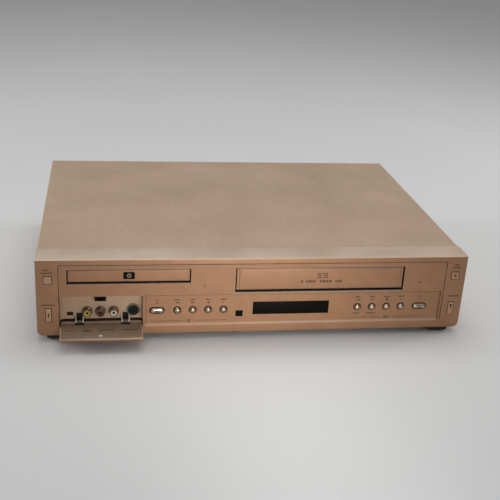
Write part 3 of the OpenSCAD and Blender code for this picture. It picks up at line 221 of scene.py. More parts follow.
class NodeSheet:
    """Short way to place and join shader nodes in one node tree."""

    def __init__(self, tree: NodeTree) -> None:
        """Takes the tree that the nodes go into."""
        self.tree = tree

    def add(self, kind: str, **settings: object) -> Node:
        """Places a node.

        Args:
            kind: The node's type name.
            settings: Attributes to set on it.

        Returns:
            The new node.
        """
        node = self.tree.nodes.new(kind)
        for name, value in settings.items():
            setattr(node, name, value)
        return node

    def link(self, source: NodeSocket, target: NodeSocket) -> None:
        """Joins an output to an input."""
        self.tree.links.new(source, target)

    def feed(self, target: NodeSocket, value: object) -> None:
        """Gives an input its value.

        Args:
            target: The input.
            value: An output socket to join it to, or the constant that it holds.
        """
        if isinstance(value, NodeSocket):
            self.link(value, target)
        else:
            target.default_value = value

    def math(self, operation: str, a: object, b: object) -> NodeSocket:
        """Places a Math node.

        Args:
            operation: Name of the operation.
            a, b: A number or an output socket for each input.

        Returns:
            The node's output.
        """
        node = self.add("ShaderNodeMath", operation=operation)
        for socket, value in zip(node.inputs, (a, b)):
            self.feed(socket, value)
        return node.outputs[0]

    def product(self, *values: object) -> NodeSocket:
        """Multiplies numbers and output sockets with each other."""
        return reduce(lambda a, b: self.math("MULTIPLY", a, b), values)

    def span(self, value: NodeSocket, source: Span, target: Span = UNIT) -> NodeSocket:
        """Maps one range of values to another, clamped.

        Args:
            value: The socket to map.
            source, target: The two ranges.

        Returns:
            The mapped socket.
        """
        node = self.add("ShaderNodeMapRange", clamp=True)
        self.link(value, node.inputs["Value"])
        for name, number in zip(("From Min", "From Max", "To Min", "To Max"), (*source, *target)):
            node.inputs[name].default_value = number
        return node.outputs["Result"]

    def blend(self, factor: NodeSocket, first: object, second: object) -> NodeSocket:
        """Mixes two colours.

        Args:
            factor: Share of the second colour.
            first, second: A linear colour or an output socket.

        Returns:
            The mixed colour's socket.
        """
        node = self.add("ShaderNodeMix", data_type="RGBA")
        self.link(factor, node.inputs[0])
        for index, value in zip(MIX_COLOURS, (first, second)):
            self.feed(node.inputs[index], (*value, 1.0) if isinstance(value, tuple) else value)
        return node.outputs[MIX_RESULT]


class Effect(Enum):
    """Surface effects that several finishes share, each one shader node group."""

    GRAIN = "paint_grain"
    SMUDGE = "hand_smudge"
    # Dust and painted top light on faces that look up.
    DUST = "settled_dust"
    SCRATCH = "fine_scratches"
    # Edge wear together with painted highlights along sharp edges.
    RUB = "rubbed_edges"
    # Painted shade that darkens narrow corners.
    GRIME = "corner_grime"

    def group(self) -> NodeTree:
        """The effect's node group, built at its first use."""
        known = bpy.data.node_groups.get(self.value)
        return known or EFFECT_BUILDERS[self](self.value)


def new_group(name: str, inputs: Sequence[str], outputs: Sequence[str]) -> tuple[NodeSheet, object, object]:
    """Starts a node group of number sockets.

    Args:
        name: The group's name.
        inputs, outputs: Names of its sockets.

    Returns:
        The sheet, the group's input node and its output node.
    """
    tree = bpy.data.node_groups.new(name, "ShaderNodeTree")
    for socket in inputs:
        tree.interface.new_socket(socket, in_out="INPUT", socket_type="NodeSocketFloat")
    for socket in outputs:
        tree.interface.new_socket(socket, in_out="OUTPUT", socket_type="NodeSocketFloat")
    sheet = NodeSheet(tree)
    return sheet, sheet.add("NodeGroupInput"), sheet.add("NodeGroupOutput")


def noise(sheet: NodeSheet, scale: object, detail: float = 3.0) -> NodeSocket:
    """Places noise on the piece's own coordinates.

    Args:
        sheet: Where the nodes go.
        scale: Spots per metre, as a number or a socket.
        detail: Octaves of the noise.

    Returns:
        The noise's value.
    """
    place = sheet.add("ShaderNodeTexCoord")
    node = sheet.add("ShaderNodeTexNoise")
    node.inputs["Detail"].default_value = detail
    sheet.feed(node.inputs["Scale"], scale)
    sheet.link(place.outputs["Object"], node.inputs["Vector"])
    return node.outputs["Fac"]


def build_grain(name: str) -> NodeTree:
    """Fine grain with broad mottling over it.

    Args:
        name: Name of the group.

    Returns:
        The group, with Tone and Height outputs.
    """
    sheet, source, target = new_group(name, ("Scale", "Mottle"), ("Tone", "Height"))
    fine = noise(sheet, source.outputs["Scale"], detail=2.0)
    broad = noise(sheet, sheet.product(source.outputs["Scale"], MOTTLE_SHARE), detail=4.0)
    shift = sheet.product(sheet.math("SUBTRACT", broad, 0.5), source.outputs["Mottle"])
    sheet.link(sheet.math("ADD", fine, shift), target.inputs["Tone"])
    sheet.link(fine, target.inputs["Height"])
    return sheet.tree


def build_smudge(name: str) -> NodeTree:
    """Soft patches left by hands.

    Args:
        name: Name of the group.

    Returns:
        The group, with a Mask output.
    """
    sheet, source, target = new_group(name, ("Scale",), ("Mask",))
    patches = noise(sheet, source.outputs["Scale"], detail=5.0)
    sheet.link(sheet.span(patches, (0.38, 0.68)), target.inputs["Mask"])
    return sheet.tree


def build_dust_and_top_light(name: str) -> NodeTree:
    """Dust on faces that look up, together with painted top light: they turn paler.

    Args:
        name: Name of the group.

    Returns:
        The group, with a Mask output.
    """
    sheet, source, target = new_group(name, ("Amount", "Scale"), ("Mask",))
    place = sheet.add("ShaderNodeTexCoord")
    parts = sheet.add("ShaderNodeSeparateXYZ")
    sheet.link(place.outputs["Normal"], parts.inputs[0])
    up = sheet.span(parts.outputs["Z"], (0.35, 0.95))
    drift = sheet.span(noise(sheet, source.outputs["Scale"], detail=6.0), (0.3, 0.7), (0.65, 1.0))
    sheet.link(sheet.product(up, drift, source.outputs["Amount"]), target.inputs["Mask"])
    return sheet.tree


def build_scratch(name: str) -> NodeTree:
    """Thin scratches in patches.

    Args:
        name: Name of the group.

    Returns:
        The group, with a Mask output.
    """
    sheet, source, target = new_group(name, ("Scale", "Amount"), ("Mask",))
    place = sheet.add("ShaderNodeTexCoord")
    turn = sheet.add("ShaderNodeMapping")
    turn.inputs["Rotation"].default_value = (0.3, 0.5, 0.6)
    turn.inputs["Scale"].default_value = (1.0, 26.0, 26.0)
    sheet.link(place.outputs["Object"], turn.inputs["Vector"])
    streak = sheet.add("ShaderNodeTexNoise")
    streak.inputs["Detail"].default_value = 1.0
    sheet.link(turn.outputs[0], streak.inputs["Vector"])
    sheet.link(source.outputs["Scale"], streak.inputs["Scale"])
    line = sheet.span(streak.outputs["Fac"], (0.7, 0.74))
    patch = sheet.span(noise(sheet, scale=26.0, detail=4.0), (0.56, 0.68))
    sheet.link(sheet.product(line, patch, source.outputs["Amount"]), target.inputs["Mask"])
    return sheet.tree


def build_edge_wear_and_highlight(name: str) -> NodeTree:
    """Paint rubbed thin along sharp edges, with painted highlights: edges turn paler where the rounded normal
    leaves the face's normal.

    Args:
        name: Name of the group.

    Returns:
        The group, with a Mask output.
    """
    sheet, source, target = new_group(name, ("Width", "Amount"), ("Mask",))
    soft = sheet.add("ShaderNodeBevel", samples=4)
    sheet.link(source.outputs["Width"], soft.inputs["Radius"])
    plain = sheet.add("ShaderNodeNewGeometry")
    turn = sheet.add("ShaderNodeVectorMath", operation="DOT_PRODUCT")
    sheet.link(soft.outputs[0], turn.inputs[0])
    sheet.link(plain.outputs["Normal"], turn.inputs[1])
    edge = sheet.span(turn.outputs["Value"], (0.8, 0.98), FADING)
    broken = sheet.span(noise(sheet, scale=420.0, detail=4.0), (0.35, 0.65), (0.2, 1.0))
    sheet.link(sheet.product(edge, broken, source.outputs["Amount"]), target.inputs["Mask"])
    return sheet.tree


def build_painted_shade(name: str) -> NodeTree:
    """Painted shade in narrow corners, found by ambient occlusion and made uneven by noise.

    Args:
        name: Name of the group.

    Returns:
        The group, with a Mask output.
    """
    sheet, source, target = new_group(name, ("Reach", "Amount"), ("Mask",))
    shade = sheet.add("ShaderNodeAmbientOcclusion", samples=8)
    sheet.link(source.outputs["Reach"], shade.inputs["Distance"])
    corner = sheet.span(shade.outputs["AO"], (0.35, 0.9), FADING)
    uneven = sheet.span(noise(sheet, scale=180.0, detail=4.0), (0.3, 0.7), (0.7, 1.0))
    sheet.link(sheet.product(corner, uneven, source.outputs["Amount"]), target.inputs["Mask"])
    return sheet.tree


EFFECT_BUILDERS: dict[Effect, Callable[[str], NodeTree]] = {
    Effect.GRAIN: build_grain,
    Effect.SMUDGE: build_smudge,
    Effect.DUST: build_dust_and_top_light,
    Effect.SCRATCH: build_scratch,
    Effect.RUB: build_edge_wear_and_highlight,
    Effect.GRIME: build_painted_shade,
}


@dataclass(frozen=True)
class Finish:
    """One finish: its two tones, how it shines, how it has worn, and the shade and highlights painted on it.
    """

    name: str
    slot: str
    tone: Colour
    shade: Colour
    metallic: float = 0.0
    roughness: float = 0.5
    spread: float = 0.12
    grain: float = 2500.0
    mottle: float = 0.5
    tone_range: Span = (0.32, 0.68)
    depth: float = 0.1
    relief: float = 0.0002
    smudge: float = 22.0
    # Dust and painted top light: faces that look up turn paler.
    dust: float = 0.0
    dust_and_top_light_scale: float = 14.0
    dust_and_top_light_tone: Colour = srgb(186, 168, 146)
    scratch: float = 0.0
    scratch_scale: float = 46.0
    # Edge wear and painted edge highlights: strength, width, and the pale colour that scratches share.
    rub: float = 0.0
    edge_wear_and_highlight_width: float = 0.0009
    wear_and_highlight_tone: Colour = srgb(214, 190, 160)
    # Painted shade in narrow corners: its strength, its reach and its dark colour.
    grime: float = 0.0
    painted_shade_reach: float = 0.0025
    painted_shade_tone: Colour = srgb(66, 42, 27)
    coat: float = 0.0
    coat_roughness: float = 0.12
    specular: float = 0.5

    def material(self) -> Material:
        """The finish's material, built at its first use."""
        return bpy.data.materials.get(self.name) or self._build()

    def _effect(self, sheet: NodeSheet, effect: Effect, **values: float) -> Node:
        """Places an effect's group.

        Args:
            sheet: The material's nodes.
            effect: Which effect.
            values: Values of its inputs.

        Returns:
            The group's node.
        """
        node = sheet.add("ShaderNodeGroup", node_tree=effect.group())
        for name, value in values.items():
            node.inputs[name].default_value = value
        return node

    def _build(self) -> Material:
        """Builds the material.

        Returns:
            The new material.
        """
        material = bpy.data.materials.new(self.name)
        material.use_nodes = True
        sheet = NodeSheet(material.node_tree)
        shader = material.node_tree.nodes["Principled BSDF"]
        shader.inputs["Metallic"].default_value = self.metallic
        shader.inputs["Coat Weight"].default_value = self.coat
        shader.inputs["Coat Roughness"].default_value = self.coat_roughness
        shader.inputs["Specular IOR Level"].default_value = self.specular
        grain = self._effect(sheet, Effect.GRAIN, Scale=self.grain, Mottle=self.mottle)
        colour = sheet.blend(sheet.span(grain.outputs["Tone"], self.tone_range), self.shade, self.tone)
        height = grain.outputs["Height"]
        # Dust and painted top light: faces that look up blend towards a pale tone.
        if self.dust:
            dust = self._effect(sheet, Effect.DUST, Amount=self.dust, Scale=self.dust_and_top_light_scale)
            colour = sheet.blend(dust.outputs["Mask"], colour, self.dust_and_top_light_tone)
        if self.scratch:
            lines = self._effect(sheet, Effect.SCRATCH, Scale=self.scratch_scale, Amount=self.scratch)
            colour = sheet.blend(lines.outputs["Mask"], colour, self.wear_and_highlight_tone)
            height = sheet.math("SUBTRACT", height, lines.outputs["Mask"])
        # Edge wear and painted highlights: sharp edges turn paler.
        if self.rub:
            edges = self._effect(sheet, Effect.RUB, Width=self.edge_wear_and_highlight_width, Amount=self.rub)
            colour = sheet.blend(edges.outputs["Mask"], colour, self.wear_and_highlight_tone)
        # Painted shade: narrow corners darken towards a dark brown.
        if self.grime:
            corners = self._effect(sheet, Effect.GRIME, Reach=self.painted_shade_reach, Amount=self.grime)
            colour = sheet.blend(corners.outputs["Mask"], colour, self.painted_shade_tone)
        sheet.link(colour, shader.inputs["Base Color"])
        smudge = self._effect(sheet, Effect.SMUDGE, Scale=self.smudge)
        worn = sheet.span(smudge.outputs["Mask"], UNIT, (self.roughness, self.roughness + self.spread))
        sheet.link(worn, shader.inputs["Roughness"])
        bump = sheet.add("ShaderNodeBump")
        bump.inputs["Strength"].default_value = self.depth
        bump.inputs["Distance"].default_value = self.relief
        sheet.link(height, bump.inputs["Height"])
        sheet.link(bump.outputs["Normal"], shader.inputs["Normal"])
        return material


CHAMPAGNE = Finish(
    "champagne_paint", "panel", srgb(172, 128, 94), srgb(160, 116, 84), metallic=0.3, roughness=0.44,
    spread=0.14, grain=5200.0, mottle=0.6, depth=0.05, dust=0.9, dust_and_top_light_tone=srgb(210, 192, 172), scratch=0.3,
    rub=0.75, grime=0.8,
)
BAY_PAINT = Finish(
    "jack_bay_plastic", "panel", srgb(200, 168, 138), srgb(186, 154, 125), roughness=0.5, depth=0.08,
    dust=0.3, grime=0.4, painted_shade_reach=0.004,
)
FLAP_PAINT = Finish(
    "flap_plastic", "panel", srgb(146, 124, 102), srgb(126, 105, 85), metallic=0.25, roughness=0.38,
    mottle=0.9, depth=0.08, scratch=0.4, rub=0.9, grime=0.5,
)
# Bright finish of the forks; on the flap's catch it is a painted highlight.
FORK_PLATE_AND_HIGHLIGHT = Finish(
    "fork_plastic_and_catch_highlight", "panel", srgb(224, 212, 196), srgb(204, 190, 172), metallic=0.35, roughness=0.26,
    depth=0.05,
)
SOCKET_RIM = Finish(
    "socket_rim_plate", "bright", srgb(146, 134, 119), srgb(124, 112, 99), metallic=0.5, roughness=0.3,
    depth=0.05,
)
KNUCKLE = Finish(
    "hinge_knuckle", "panel", srgb(96, 84, 70), srgb(80, 69, 57), metallic=0.25, roughness=0.36, depth=0.05,
)
CORNER_PLATE = Finish(
    "corner_button_plate", "bright", srgb(198, 158, 126), srgb(184, 144, 112), metallic=0.7, roughness=0.3,
    spread=0.1, depth=0.03, rub=0.9, wear_and_highlight_tone=srgb(226, 204, 178),
)
COVER_PAINT = Finish(
    "cover_paint", "cover", srgb(188, 162, 137), srgb(156, 131, 108), metallic=0.1, roughness=0.55,
    spread=0.1, grain=950.0, mottle=0.4, depth=0.16, dust=0.15, dust_and_top_light_tone=srgb(176, 158, 138), scratch=0.6,
    rub=0.6,
)
# Paler strips painted along the cover's two folds as highlights.
FOLD_HIGHLIGHT = Finish(
    "painted_fold_highlight", "cover", srgb(226, 204, 178), srgb(196, 172, 147), metallic=0.1, roughness=0.4,
    grain=260.0, mottle=1.2, depth=0.1,
)
CHROME = Finish(
    "bright_plate", "bright", srgb(206, 188, 168), srgb(190, 170, 150), metallic=1.0, roughness=0.12,
    spread=0.1, grain=900.0, depth=0.02,
)
DARK_CHROME = Finish(
    "jack_plate", "bright", srgb(150, 132, 116), srgb(116, 98, 84), metallic=1.0, roughness=0.22, spread=0.14,
    grain=900.0, depth=0.03,
)
ZINC = Finish(
    "zinc_plate", "steel", srgb(182, 184, 186), srgb(158, 160, 163), metallic=0.85, roughness=0.36,
    spread=0.18, grain=700.0, mottle=1.0, depth=0.08, smudge=60.0, scratch=0.3,
)
BLACK = Finish(
    "black_moulding", "black", srgb(36, 34, 31), srgb(26, 24, 22), roughness=0.46, spread=0.16, grain=2200.0,
    depth=0.18, dust=0.08,
)
SHADOW_GAP = Finish("dark_hollow", "black", srgb(20, 15, 11), srgb(14, 11, 8), roughness=0.8, depth=0.05)
CORNER_SHADE = Finish("corner_shade", "panel", srgb(96, 67, 48), srgb(82, 56, 39), roughness=0.7, depth=0.05)
RUBBER = Finish(
    "foot_rubber", "rubber", srgb(48, 40, 33), srgb(36, 30, 25), roughness=0.72, spread=0.14, grain=1400.0,
    depth=0.3, dust=0.2, dust_and_top_light_tone=srgb(110, 98, 84),
)
SCREW_BLACK = Finish(
    "blackened_screw", "screw", srgb(44, 42, 40), srgb(30, 29, 28), metallic=0.7, roughness=0.42, depth=0.1,
    rub=0.6,
)
SMOKED = Finish(
    "smoked_window", "window", srgb(15, 13, 6), srgb(11, 10, 4), roughness=0.34, spread=0.1, grain=300.0,
    mottle=0.4, depth=0.01, specular=0.08,
)
BOARD = Finish(
    "circuit_board", "board", srgb(52, 104, 66), srgb(34, 82, 50), roughness=0.4, grain=260.0, mottle=1.0,
    depth=0.2, coat=0.2,
)
YELLOW = Finish("yellow_core", "yellow", srgb(222, 186, 92), srgb(196, 158, 66), roughness=0.34, depth=0.05)
RED = Finish("red_core", "red", srgb(112, 44, 36), srgb(86, 32, 27), roughness=0.34, depth=0.05)
WHITE = Finish("white_core", "white", srgb(228, 216, 196), srgb(208, 194, 172), roughness=0.4, depth=0.05)
NYLON = Finish("nylon_gear", "white", srgb(224, 218, 204), srgb(204, 198, 184), roughness=0.44, depth=0.08)
GREY_TRAY = Finish("tray_plastic", "black", srgb(70, 68, 66), srgb(56, 54, 53), roughness=0.5, depth=0.16)
PRINT = Finish("dark_print", "black", srgb(44, 29, 20), srgb(34, 22, 15), roughness=0.6, depth=0.04)
RED_PRINT = Finish("red_print", "red", srgb(134, 70, 50), srgb(118, 60, 43), roughness=0.6, depth=0.04)
PALE_PRINT = Finish("pale_print", "white", srgb(132, 119, 101), srgb(116, 104, 88), roughness=0.6, depth=0.04)


class Shape:
    """A mesh under construction, in panel millimetres."""

    SEAM_WELD = 0.0005
    NODE_WELD = 0.002
    RIM_WELD = 0.05
    FLAT_ANGLE = math.radians(0.4)
    STROKES = (0.45, 0.3, 0.6, 0.4)
    STROKE_GAP = 0.3

    def __init__(self) -> None:
        """Starts with an empty mesh."""
        self.bm = bmesh.new()

    def soften(self, edges: Iterable[BMEdge], width: float, segments: int = 2) -> None:
        """Rounds edges.

        Args:
            edges: The edges to round.
            width: How far the round reaches from the edge.
            segments: Stretches across the round.
        """
        bmesh.ops.bevel(
            self.bm, geom=list(edges), offset=width, offset_type="OFFSET", segments=segments, profile=0.5,
            affect="EDGES", clamp_overlap=True, material=-1,
        )

    def sharp(self, least: float = 35.0, test: Callable[[BMEdge], bool] = lambda edge: True) -> list[BMEdge]:
        """Edges whose faces meet at an angle.

        Args:
            least: Least angle in degrees.
            test: What else an edge has to meet.

        Returns:
            The edges.
        """
        limit = math.radians(least)
        folds = (e for e in self.bm.edges if len(e.link_faces) == 2 and e.calc_face_angle() > limit)
        return [e for e in folds if test(e)]

    def draw_out(self, faces: Sequence[BMFace], way: Vector) -> list[BMFace]:
        """Draws faces out into a solid.

        Args:
            faces: The faces.
            way: How far they are drawn, and where to.

        Returns:
            The faces at the far end.
        """
        grown = bmesh.ops.extrude_face_region(self.bm, geom=list(faces))["geom"]
        bmesh.ops.translate(self.bm, verts=[v for v in grown if isinstance(v, BMVert)], vec=way)
        return [f for f in grown if isinstance(f, BMFace)]

    def block(self, x: Span, y: Span, z: Span, edge: float = 0.0, segments: int = 2) -> None:
        """Adds a box.

        Args:
            x, y, z: Its lowest and highest values.
            edge: Round along its edges.
            segments: Stretches across the round.
        """
        low, high = Vector((x[0], y[0], z[0])), Vector((x[1], y[1], z[1]))
        place = Matrix.Translation((low + high) / 2) @ Matrix.Diagonal((*(high - low), 1.0))
        made = bmesh.ops.create_cube(self.bm, size=1.0, matrix=place)
        if edge:
            self.soften({e for v in made["verts"] for e in v.link_edges}, edge, segments)

    def prism(
        self, outline: Sequence[Point], axis: Axis, along: Span, edge: float = 0.0, segments: int = 2,
    ) -> None:
        """Draws an outline out into a solid.

        Args:
            outline: Points of the outline, across the direction.
            axis: Direction that it is drawn out along.
            along: Where the solid starts and ends.
            edge: Round along the rims of both end faces.
            segments: Stretches across the round.
        """
        face = self.bm.faces.new([self.bm.verts.new(axis.point(a, b, along[0])) for a, b in outline])
        far = self.draw_out([face], axis.unit * (along[1] - along[0]))
        if edge:
            self.soften({e for f in (face, *far) for e in f.edges}, edge, segments)

    def band(self, outer: Sequence[Point], inner: Sequence[Point], axis: Axis, along: Span) -> None:
        """Draws the ring between two outlines out into a solid.

        Args:
            outer, inner: The two outlines, with the same number of points.
            axis: Direction that the ring is drawn out along.
            along: Where the solid starts and ends.
        """
        far, near = (
            [self.bm.verts.new(axis.point(a, b, along[0])) for a, b in line] for line in (outer, inner)
        )
        faces = [self.bm.faces.new((far[i - 1], far[i], near[i], near[i - 1])) for i in range(len(far))]
        self.draw_out(faces, axis.unit * (along[1] - along[0]))

    def dome(self, width: float, steps: int = 6) -> None:
        """Draws the foremost face out into a dome with a round rim.

        Args:
            width: How far the rim reaches inwards and forwards.
            steps: Stretches across the rim.
        """
        bmesh.ops.remove_doubles(self.bm, verts=self.bm.verts[:], dist=self.RIM_WELD)
        bmesh.ops.recalc_face_normals(self.bm, faces=self.bm.faces[:])
        face = min(self.bm.faces, key=lambda f: f.calc_center_median().y)
        turns = [math.pi / 2 * i / steps for i in range(steps + 1)]
        for near, far in zip(turns, turns[1:]):
            bmesh.ops.inset_region(
                self.bm, faces=[face], thickness=width * (math.cos(near) - math.cos(far)),
                depth=width * (math.sin(far) - math.sin(near)), use_boundary=True, use_even_offset=True,
            )

    def ticks(self, middle: Point, width: float, height: float, y: Span) -> None:
        """Adds a row of short upright strokes.

        Args:
            middle: Middle of the row in x and z.
            width: Length of the row.
            height: Height of the strokes.
            y: Front and back of the strokes.
        """
        x, gap = middle[0] - width / 2, self.STROKE_GAP * height
        z = around(middle[1], height / 2)
        for share in self.STROKES * math.ceil(width / height):
            stroke = share * height
            if x + stroke > middle[0] + width / 2:
                break
            self.block((x, x + stroke), y, z)
            x += stroke + gap

    def lathe(self, profile: Sequence[Point], middle: Vector, axis: Axis, steps: int = 40) -> None:
        """Turns a profile about a line.

        Args:
            profile: Radius and place along the line of each point.
            middle: A point on the line, with 0 along it.
            axis: Direction of the line.
            steps: Stretches round the turn.
        """
        verts = [self.bm.verts.new(middle + axis.point(r, 0.0, along)) for r, along in profile]
        edges = [self.bm.edges.new(pair) for pair in zip(verts, verts[1:])]
        before = set(self.bm.verts) - set(verts)
        bmesh.ops.spin(
            self.bm, geom=[*verts, *edges], cent=middle, axis=axis.unit, angle=2 * math.pi, steps=steps,
            use_merge=True,
        )
        turned = [v for v in self.bm.verts if v not in before]
        bmesh.ops.remove_doubles(self.bm, verts=turned, dist=self.SEAM_WELD)

    def copy(self, node: str, edge: float = 0.0, segments: int = 2) -> None:
        """Adds a copy of a CAD node's mesh with its edges rounded.

        Args:
            node: Name of the node.
            edge: Round along its sharp edges.
            segments: Stretches across the round.
        """
        self.bm.from_mesh(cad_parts[node].data)
        bmesh.ops.transform(self.bm, matrix=TO_FRAME.inverted(), verts=self.bm.verts[:])
        bmesh.ops.remove_doubles(self.bm, verts=self.bm.verts[:], dist=self.NODE_WELD)
        bmesh.ops.dissolve_limit(
            self.bm, angle_limit=self.FLAT_ANGLE, verts=self.bm.verts[:], edges=self.bm.edges[:],
        )
        if edge:
            self.soften(self.sharp(), edge, segments)

    def make(self, name: str, body: str, finish: Finish, stands_for: Sequence[str] = ()) -> Object:
        """Finishes the mesh as a piece of the object.

        Args:
            name: Name of the piece.
            body: Body that it rides on.
            finish: What it is dressed in.
            stands_for: CAD nodes that it replaces.

        Returns:
            The new object.
        """
        bmesh.ops.recalc_face_normals(self.bm, faces=self.bm.faces[:])
        bmesh.ops.transform(self.bm, matrix=TO_FRAME, verts=self.bm.verts[:])
        mesh = bpy.data.meshes.new(name)
        self.bm.to_mesh(mesh)
        self.bm.free()
        mesh.shade_smooth()
        mesh.set_sharp_from_angle(angle=SMOOTH_ANGLE)
        mesh.materials.append(finish.material())
        piece = add_object(name, mesh)
        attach(piece, body)
        for node in stands_for:
            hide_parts(node)
        LOG.info("%s on %s: %d faces", name, body, len(mesh.polygons))
        return piece


class PanelSheet(Shape):
    """The panel's front as one sheet that is cut along straight lines into rectangles."""

    CUT_SLACK = 0.0001
    SIDE_CUTS = 7

    def __init__(self, outline: Sequence[Point]) -> None:
        """Starts with the panel's outline as one face."""
        super().__init__()
        self.bm.faces.new([self.bm.verts.new((x, 0.0, z)) for x, z in outline])

    @staticmethod
    def _meets(face: BMFace, x: Span, z: Span) -> bool:
        """Whether a face overlaps a rectangle.

        Args:
            face: The face.
            x, z: The rectangle.

        Returns:
            True if they share more than an edge.
        """
        xs = [v.co.x for v in face.verts]
        zs = [v.co.z for v in face.verts]
        across = min(xs) < x[1] - NEAR and max(xs) > x[0] + NEAR
        return across and min(zs) < z[1] - NEAR and max(zs) > z[0] + NEAR

    def carve(self, x: Span, z: Span) -> list[BMFace]:
        """Cuts the sheet along the sides of a rectangle.

        Args:
            x, z: The rectangle.

        Returns:
            The faces inside it.
        """
        cuts = [(Axis.X.unit, v) for v in x] + [(Axis.Z.unit, v) for v in z]
        for normal, place in cuts:
            faces = [f for f in self.bm.faces if self._meets(f, x, z)]
            edges = {e for f in faces for e in f.edges}
            verts = {v for f in faces for v in f.verts}
            bmesh.ops.bisect_plane(
                self.bm, geom=[*faces, *edges, *verts], dist=self.CUT_SLACK, plane_co=normal * place,
                plane_no=normal,
            )
        return [f for f in self.bm.faces if self._meets(f, x, z)]

    def open_window(self, x: Span, z: Span) -> None:
        """Cuts a rectangular hole."""
        bmesh.ops.delete(self.bm, geom=self.carve(x, z), context="FACES")

    def open_round(self, middle: Point, radius: float, stretch: float, margin: float = 1.4) -> None:
        """Cuts a round or oblong hole.

        Args:
            middle: Centre of the hole.
            radius: Radius of its ends.
            stretch: Half the distance between its ends' centres.
            margin: Width of the patch round the hole.
        """
        half_x, half_z = radius + stretch + margin, radius + margin
        patch = self.carve(around(middle[0], half_x), around(middle[1], half_z))
        rim = [e for e in {e for f in patch for e in f.edges} if any(f not in patch for f in e.link_faces)]
        bmesh.ops.delete(self.bm, geom=patch, context="FACES")
        split = bmesh.ops.subdivide_edges(self.bm, edges=rim, cuts=self.SIDE_CUTS)["geom_split"]
        outer = {v for e in split if isinstance(e, BMEdge) for v in e.verts}
        order = sorted(outer, key=lambda v: math.atan2(v.co.z - middle[1], v.co.x - middle[0]))
        inner = [self._hole_point(v.co, middle, radius, stretch) for v in order]
        for i in range(len(order)):
            self.bm.faces.new((order[i - 1], order[i], inner[i], inner[i - 1]))

    def _hole_point(self, rim: Vector, middle: Point, radius: float, stretch: float) -> BMVert:
        """Adds the point of a round or oblong hole that faces a point outside it.

        Args:
            rim: The point outside the hole.
            middle: Centre of the hole.
            radius: Radius of its ends.
            stretch: Half the distance between its ends' centres.

        Returns:
            The new point.
        """
        end = max(-stretch, min(stretch, rim.x - middle[0]))
        way = Vector((rim.x - middle[0] - end, rim.z - middle[1])).normalized() * radius
        return self.bm.verts.new((middle[0] + end + way.x, 0.0, middle[1] + way.y))

    def thicken(self, depth: float) -> None:
        """Draws the sheet out backwards into a plate."""
        self.draw_out(self.bm.faces[:], Axis.Y.unit * depth)

    def sink(self, depth: float, test: Callable[[Vector], bool]) -> None:
        """Moves points of the front face backwards.

        Args:
            depth: How far they move.
            test: Whether a point moves.
        """
        for vert in self.bm.verts:
            if vert.co.y < NEAR and test(vert.co):
                vert.co.y += depth


class Button(Enum):
    """Shapes of the front buttons."""

    ROUND = "round"
    OBLONG = "oblong"
    SQUARE = "square"
    TALL = "tall"


ROUND_BUTTONS = (
    "disc_back", "disc_next", "disc_stop", "disc_play",
    "tape_rewind", "tape_forward", "tape_stop", "tape_play",
)
OBLONG_BUTTONS = ("disc_record", "tape_record")
SQUARE_BUTTONS = ("upper_left", "upper_right")
TALL_BUTTONS = ("lower_left", "lower_right")


def button_middle(name: str) -> Vector:
    """Middle of a button in panel millimetres."""
    return NodeBox.of(f"{name}_button").middle


